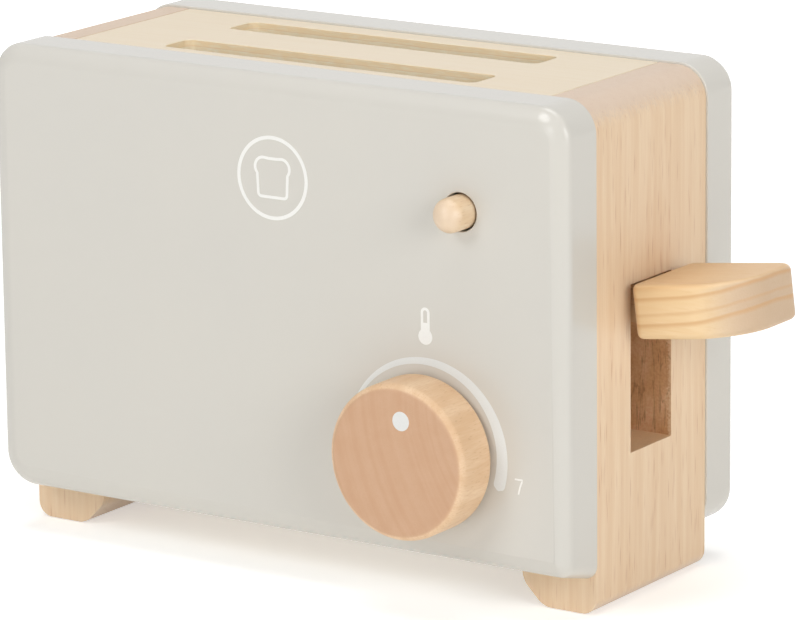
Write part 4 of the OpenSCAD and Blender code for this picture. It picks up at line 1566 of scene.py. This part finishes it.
@dataclass
class ButtonAndBrake(Assembly):
    """The push button, its stem and spring, and the brake that it lifts off the slide block."""

    x: float = 59.8
    z: float = 106.9
    radius: float = 4.6
    back: float = -24.4
    tip: float = -51.2
    dome: float = 3.5
    stem_radius: float = 2.5
    stem_start: float = -34.4
    stem_end: float = 16.5
    stem_play: float = 0.05
    collar_radius: float = 7.5
    collar: float = 3
    spring_start: float = -24.1
    spring_gap: float = 0.3
    spring: Spring = Spring(4.4, 9.8, 0.7, 4, 6)

    def build(self) -> None:
        """Builds the button and what is behind it."""
        self.button()
        bore, rim, deep, rod = self.radius + 0.05, self.collar_radius, self.collar, self.finish.rod_beech
        ring = [
            (bore + 0.3, 0), (rim - 0.4, 0), (rim, 0.4), (rim, deep - 0.4), (rim - 0.4, deep),
            (bore + 0.3, deep), (bore, deep - 0.3), (bore, 0.3),
        ]
        start = place(self.x, self.back - deep, self.z)
        collar = turned("turned_button_collar", ring, start, (0, 1, 0), rod, True)
        self.fit(collar, "button", "beech", "button_collar")
        pin = pin_profile(self.stem_radius, self.stem_end - self.stem_start, 0.4)
        start = place(self.x, self.stem_start, self.z)
        stem = turned("turned_button_stem", pin, start, (0, 1, 0), rod)
        self.fit(stem, "button", "beech", "button_stem")
        self.sand("box", "beech", self.finish.upright_beech, 0.4, "stem_guide")
        self.sand("button", "plywood", self.finish.rail, 0.3, "brake_plate")
        self.sand("button", "felt", self.finish.felt, 0.3, "brake_pad")
        self.coil()

    def button(self) -> None:
        """Turns the button with its domed tip."""
        length = self.back - self.tip - self.dome
        dome_radius = (self.radius**2 + self.dome**2) / (2 * self.dome)
        middle = length + self.dome - dome_radius
        low = math.degrees(math.asin((length - middle) / dome_radius))
        cap = arc((0, middle), dome_radius, low + 3, 90, 16)
        hole, r = self.stem_radius + self.stem_play, self.radius
        profile = [
            (0, 10), (hole, 10), (hole, 0), (r - 0.3, 0), (r, 0.3),
            (r, length - 0.6), (r - 0.06, length - 0.15), *cap[:-1], (0, length + self.dome),
        ]
        start = place(self.x, self.back, self.z)
        button = turned("turned_button", profile, start, (0, -1, 0), self.finish.button)
        self.fit(button, "button", "button_wood", "button")

    def coil(self) -> None:
        """Coils the spring that pushes the button out."""
        start = place(self.x, self.spring_start, self.z)
        spring = self.spring.coil("coiled_button_spring", [start], (0, 1, 0), self.finish.steel)
        self.fit(spring, "box", "steel", "button_spring")
        self.spring.keep()
        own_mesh(spring)


@dataclass
class Knob(Assembly):
    """The turning knob with its white dot, its axle, and the washer and screw that hold it."""

    x: float = 49
    z: float = 42
    back: float = -43.0
    radius: float = 21
    thickness: float = 14.6
    edge: float = 2.3
    bore: float = 4.05
    axle_radius: float = 3.95
    axle_deep: float = 9
    axle_end: float = -27.4
    washer: tuple[Pair, ...] = (
        (1.7, 0.1), (1.8, 0), (8.8, 0), (9, 0.2), (9, 1.0), (8.8, 1.2), (1.8, 1.2), (1.7, 1.1),
    )
    screw: Screw = Screw(14, ScrewHead.PAN)
    screw_head: float = 3.0
    dot: Pair = (1.9, 11.5)
    dot_radius: float = 2.6
    skin: float = 0.08

    def build(self) -> None:
        """Builds the knob and what holds it."""
        self.knob()
        steel, inside = self.finish.steel, place(self.x, self.axle_end, self.z)
        pin = pin_profile(self.axle_radius, self.axle_end - self.back + self.axle_deep, 0.4)
        outside = place(self.x, self.back - self.axle_deep, self.z)
        axle = turned("turned_knob_axle", pin, outside, (0, 1, 0), self.finish.rod_beech)
        self.fit(axle, "knob", "beech", "knob_axle")
        washer = turned("stamped_knob_washer", self.washer, inside, (0, 1, 0), steel, True)
        self.fit(washer, "knob", "steel", "knob_washer")
        head = place(self.x, self.axle_end + self.screw_head, self.z)
        screw = self.screw.drive("pan_head_knob_screw", [head], (0, -1, 0), steel)
        self.fit(screw, "knob", "steel", "knob_screw")

    def knob(self) -> None:
        """Turns the knob and prints its dot."""
        r, e, face = self.radius, self.edge, self.thickness - self.skin
        profile = [
            (0, self.axle_deep), (self.bore, self.axle_deep), (self.bore, 0.4), (self.bore + 0.4, 0),
            *arc((r - e, e), e, -90, 0, 8), *arc((r - e, face - e), e, 0, 90, 8),
            (r * 0.6, face + 0.03), (0, face + 0.04),
        ]
        start = place(self.x, self.back, self.z)
        knob = turned("turned_knob", profile, start, (0, -1, 0), self.finish.knob)
        self.fit(knob, "knob", "knob_wood", "knob")
        low, high, rim = -0.3, 0.05, self.dot_radius
        disc = [(0, low), (rim, low), (rim, 0.02), (rim - 0.1, high), (0, high)]
        centre = place(self.x + self.dot[0], self.back - face, self.z + self.dot[1])
        self.fit(turned("printed_knob_dot", disc, centre, (0, -1, 0), self.finish.dot), "knob", "panel_paint")


@dataclass
class Prints(Assembly):
    """The white prints on the front panel: dial line, figures, thermometer and bread sign."""

    face_y: float = -42.7
    proud: float = 0.04
    sunk: float = 0.04
    knob: Pair = (49.0, 42.0)
    dial_radius: float = 25
    dial_start: float = 151
    dial_turn: float = 170
    dial_thin: float = 1.0
    dial_gain: float = 2.6
    sign: Pair = (1.1, 109.3)
    sign_radius: float = 11.3
    stroke: float = 1.0
    slice_stroke: float = 0.8

    def ribbon(self, bm: BMesh, path: Sequence[Pair], widths: Sequence[float], closed: bool = False) -> None:
        """Lays a flat stroke of ink along a path on the front.

        Args:
            bm: The print's mesh.
            path: Points of (x, z) in body millimetres.
            widths: The stroke's width at each point.
            closed: True if the path ends where it starts.
        """
        count = len(path)
        rings = []
        for i, ((x, z), width) in enumerate(zip(path, widths)):
            before = path[i - 1] if i or closed else path[i]
            after = path[(i + 1) % count] if i + 1 < count or closed else path[i]
            way = Vector((after[0] - before[0], after[1] - before[1])).normalized()
            side = Vector((-way.y, way.x)) * width / 2
            rings.append([
                place(x + s * side.x, self.face_y - d, z + s * side.y)
                for s, d in ((1, self.proud), (-1, self.proud), (-1, -self.sunk), (1, -self.sunk))
            ])
        made = skin(bm, rings, closed)
        if not closed:
            bm.faces.new(made[0])
            bm.faces.new(made[-1])

    def spot(self, bm: BMesh, edge: Sequence[Pair]) -> None:
        """Lays a flat spot of ink.

        Args:
            bm: The print's mesh.
            edge: Points of (x, z) along its edge.
        """
        rings = [[place(x, self.face_y + d, z) for x, z in edge] for d in (-self.proud, self.sunk)]
        for ring in skin(bm, rings):
            bm.faces.new(ring)

    def dial_line(self, bm: BMesh) -> None:
        """Draws the line round the knob, which widens clockwise and has a round end.

        Args:
            bm: The print's mesh.
        """
        steps = 90
        path, widths = [], []
        for i in range(steps + 1):
            t = i / steps
            full = self.dial_thin + self.dial_gain * t
            left, share = (1 - t) * self.dial_turn * math.radians(1) * self.dial_radius, 1.0
            if left < full / 2:
                share = math.sqrt(max(1 - (1 - left / (full / 2)) ** 2, 0.02))
            angle = math.radians(self.dial_start - self.dial_turn * t)
            radius = self.dial_radius - full / 2
            path.append((self.knob[0] + radius * math.cos(angle), self.knob[1] + radius * math.sin(angle)))
            widths.append(full * share)
        self.ribbon(bm, path, widths)

    def figures(self, bm: BMesh) -> None:
        """Draws the plain numbers at the ends of the dial.

        Args:
            bm: The print's mesh.
        """
        seven = [(76.2, 38.3), (78.55, 38.3), (78.35, 37.75), (77.75, 36.2), (77.3, 34.35)]
        self.ribbon(bm, seven, [0.45, 0.5, 0.5, 0.45, 0.45])
        self.ribbon(bm, [(19.9, 37.6), (20.6, 38.2)], [0.42, 0.42])
        self.ribbon(bm, [(20.65, 38.4), (20.65, 34.3)], [0.46, 0.46])

    def thermometer(self, bm: BMesh) -> None:
        """Draws the thermometer: a bulb and a neck under a hollow stem.

        Args:
            bm: The print's mesh.
        """
        x, low, neck, high, bulb = 48.9, 72.6, 76.3, 80.4, 2.15
        half, stroke = 1.0, 0.75
        wide = half + stroke / 2
        stem = [(x + half, neck), *arc((x, high - wide), half, 0, 180, 12), (x - half, neck)]
        self.ribbon(bm, stem, [stroke] * len(stem))
        side = math.degrees(math.asin(wide / bulb))
        self.spot(bm, [(x + wide, neck), (x - wide, neck), *arc((x, low), bulb, 90 + side, 450 - side, 36)])

    def bread_sign(self, bm: BMesh) -> None:
        """Draws a plain ring round a slice of bread.

        Args:
            bm: The print's mesh.
        """
        cx, cz = self.sign
        ring = arc(self.sign, self.sign_radius - self.stroke / 2, 0, 360, 96)[:-1]
        self.ribbon(bm, ring, [self.stroke] * len(ring), True)
        half = [*arc((3.6, -4.2), 1.0, -90, 0, 6), *arc((2.9, 2.7), 2.6, -42, 100, 16), (1.2, 5.15)]
        path = [(cx + x, cz + z) for x, z in half + [(-x, z) for x, z in reversed(half)]]
        self.ribbon(bm, path, [self.slice_stroke] * len(path), True)

    def build(self) -> None:
        """Prints all four."""
        for name, draw, ink in (
            ("printed_dial_line", self.dial_line, self.finish.dial),
            ("printed_figures", self.figures, self.finish.ink),
            ("printed_thermometer", self.thermometer, self.finish.ink),
            ("printed_bread_sign", self.bread_sign, self.finish.ink),
        ):
            bm = bmesh.new()
            draw(bm)
            self.fit(solid(name, bm, ink), "box", "panel_paint")


# ---- Studio ----


@dataclass(frozen=True)
class Lamp:
    """A round soft lamp. Its place and width are in metres and its power in watts."""

    name: str
    place: Triple
    width: float
    power: float

    def hang(self, aim: Vector) -> None:
        """Hangs the lamp.

        Args:
            aim: The point that it is turned towards.
        """
        data = bpy.data.lights.new(self.name, "AREA")
        data.shape, data.size, data.energy = "DISK", self.width, self.power
        lamp = linked(self.name, data)
        lamp.location = self.place
        lamp.rotation_euler = (Vector(self.place) - aim).to_track_quat("Z", "Y").to_euler()


@dataclass
class Studio:
    """The camera, the pale floor, and soft light from above, both sides, the front and low behind."""

    camera_place: Triple = (0.75916, -1.12275, 0.39880)
    azimuth: float = 34.08
    elevation: float = 13.70
    roll: float = -0.642
    lens: float = 234.27
    aim: Triple = (0, 0, 0.06)
    ambient: float = 0.21
    floor_colour: str = "#F4F4F2"
    floor_glow: float = 0.13
    floor_half: float = 6.0
    pale_from: Pair = (0.3, 0.42)
    pale_to: Pair = (1.3, 1.0)
    lamps: tuple[Lamp, ...] = (
        Lamp("key_lamp", (-0.5, -1.55, 1.15), 0.75, 9.2),
        Lamp("top_lamp", (0.0, 0.1, 2.2), 1.6, 22.0),
        Lamp("side_lamp", (1.9, -0.8, 0.7), 1.2, 18.0),
        Lamp("low_fill_lamp", (-0.3, -1.9, 0.12), 0.8, 3.3),
        Lamp("corner_lamp", (-0.02, -1.8, 0.5), 0.26, 1.4),
        Lamp("back_fill_lamp", (-0.5, 2.0, 0.14), 0.7, 5.0),
    )

    def camera(self) -> None:
        """Sets the camera where the photograph was taken."""
        az, el, roll = (math.radians(a) for a in (self.azimuth, self.elevation, self.roll))
        back = Vector((math.sin(az) * math.cos(el), -math.cos(az) * math.cos(el), math.sin(el)))
        right = Vector((math.cos(az), math.sin(az), 0))
        up = back.cross(right)
        level = right * math.cos(roll) + up * math.sin(roll)
        upright = -right * math.sin(roll) + up * math.cos(roll)
        data = bpy.data.cameras.new("studio_camera")
        data.lens, data.sensor_width, data.clip_end = self.lens, 36, 20
        camera = linked("studio_camera", data)
        turn = Matrix((level, upright, back)).transposed().to_4x4()
        camera.matrix_world = Matrix.Translation(Vector(self.camera_place)) @ turn
        bpy.context.scene.camera = camera

    @staticmethod
    def seen(tree: Tree) -> Socket:
        """Tells what the camera sees, by itself or in a gloss, from what only gives light.

        Args:
            tree: The tree of the room or the floor.

        Returns:
            A socket of 1 for what is seen and 0 for light.
        """
        rays = add(tree, "ShaderNodeLightPath").node.outputs
        seen = rays["Is Camera Ray"]
        for kind in ("Is Glossy Ray", "Is Transmission Ray"):
            seen = add(tree, "ShaderNodeMath", {0: seen, 1: rays[kind]}, operation="MAXIMUM")
        return seen

    def light(self) -> None:
        """Hangs the lamps and fills the room with even light."""
        for lamp in self.lamps:
            lamp.hang(Vector(self.aim))
        world = bpy.data.worlds.new("even_room")
        bpy.context.scene.world = world
        world.use_nodes = True
        tree = world.node_tree
        tree.nodes.clear()
        strength = {"Value": self.seen(tree), "To Min": self.ambient, "To Max": 1.0}
        strength = add(tree, "ShaderNodeMapRange", strength)
        glow = add(tree, "ShaderNodeBackground", {"Color": (1, 1, 1, 1), "Strength": strength})
        add(tree, "ShaderNodeOutputWorld", {"Surface": glow})

    def floor(self) -> None:
        """Lays the pale floor, which keeps the toaster's shadow and shows white further away."""
        material, tree = empty_material("pale_studio_floor")
        matt = add(tree, "ShaderNodeBsdfDiffuse", {"Color": linear(self.floor_colour)})
        where = add(tree, "ShaderNodeTexCoord", out="Object")
        away = add(tree, "ShaderNodeVectorMath", {0: where}, 1, operation="LENGTH")
        (near, dim), (far, full) = self.pale_from, self.pale_to
        pale = {"Value": away, "From Min": near, "From Max": far, "To Min": dim, "To Max": full}
        pale = add(tree, "ShaderNodeMapRange", pale, **SOFT)
        lift = {"Value": self.seen(tree), "To Min": self.floor_glow, "To Max": pale}
        lift = add(tree, "ShaderNodeMapRange", lift)
        glow = add(tree, "ShaderNodeEmission", {"Color": (1, 1, 1, 1), "Strength": lift})
        both = add(tree, "ShaderNodeAddShader", {0: matt, 1: glow})
        add(tree, "ShaderNodeOutputMaterial", {"Surface": both})
        bm = bmesh.new()
        half, below = self.floor_half, -0.2 * MM
        bm.faces.new([bm.verts.new((x * half, y * half, below)) for x, y in CORNERS])
        solid("studio_floor", bm, material)

    def build(self) -> None:
        """Sets up the whole studio."""
        self.camera()
        self.light()
        self.floor()
        bpy.context.scene.view_settings.view_transform = "Standard"


def main() -> None:
    """Builds the studio and every sub-assembly."""
    logging.basicConfig(level=logging.INFO, format="%(name)s: %(message)s")
    Studio().build()
    finish = Finishes()
    for group in (PaintedPanels, EndBlocks, TopAndBase, Lift, Lever, ButtonAndBrake, Knob, Prints):
        LOG.info("building %s", group.__name__)
        group(finish).build()


if __name__ == "__main__":
    main()
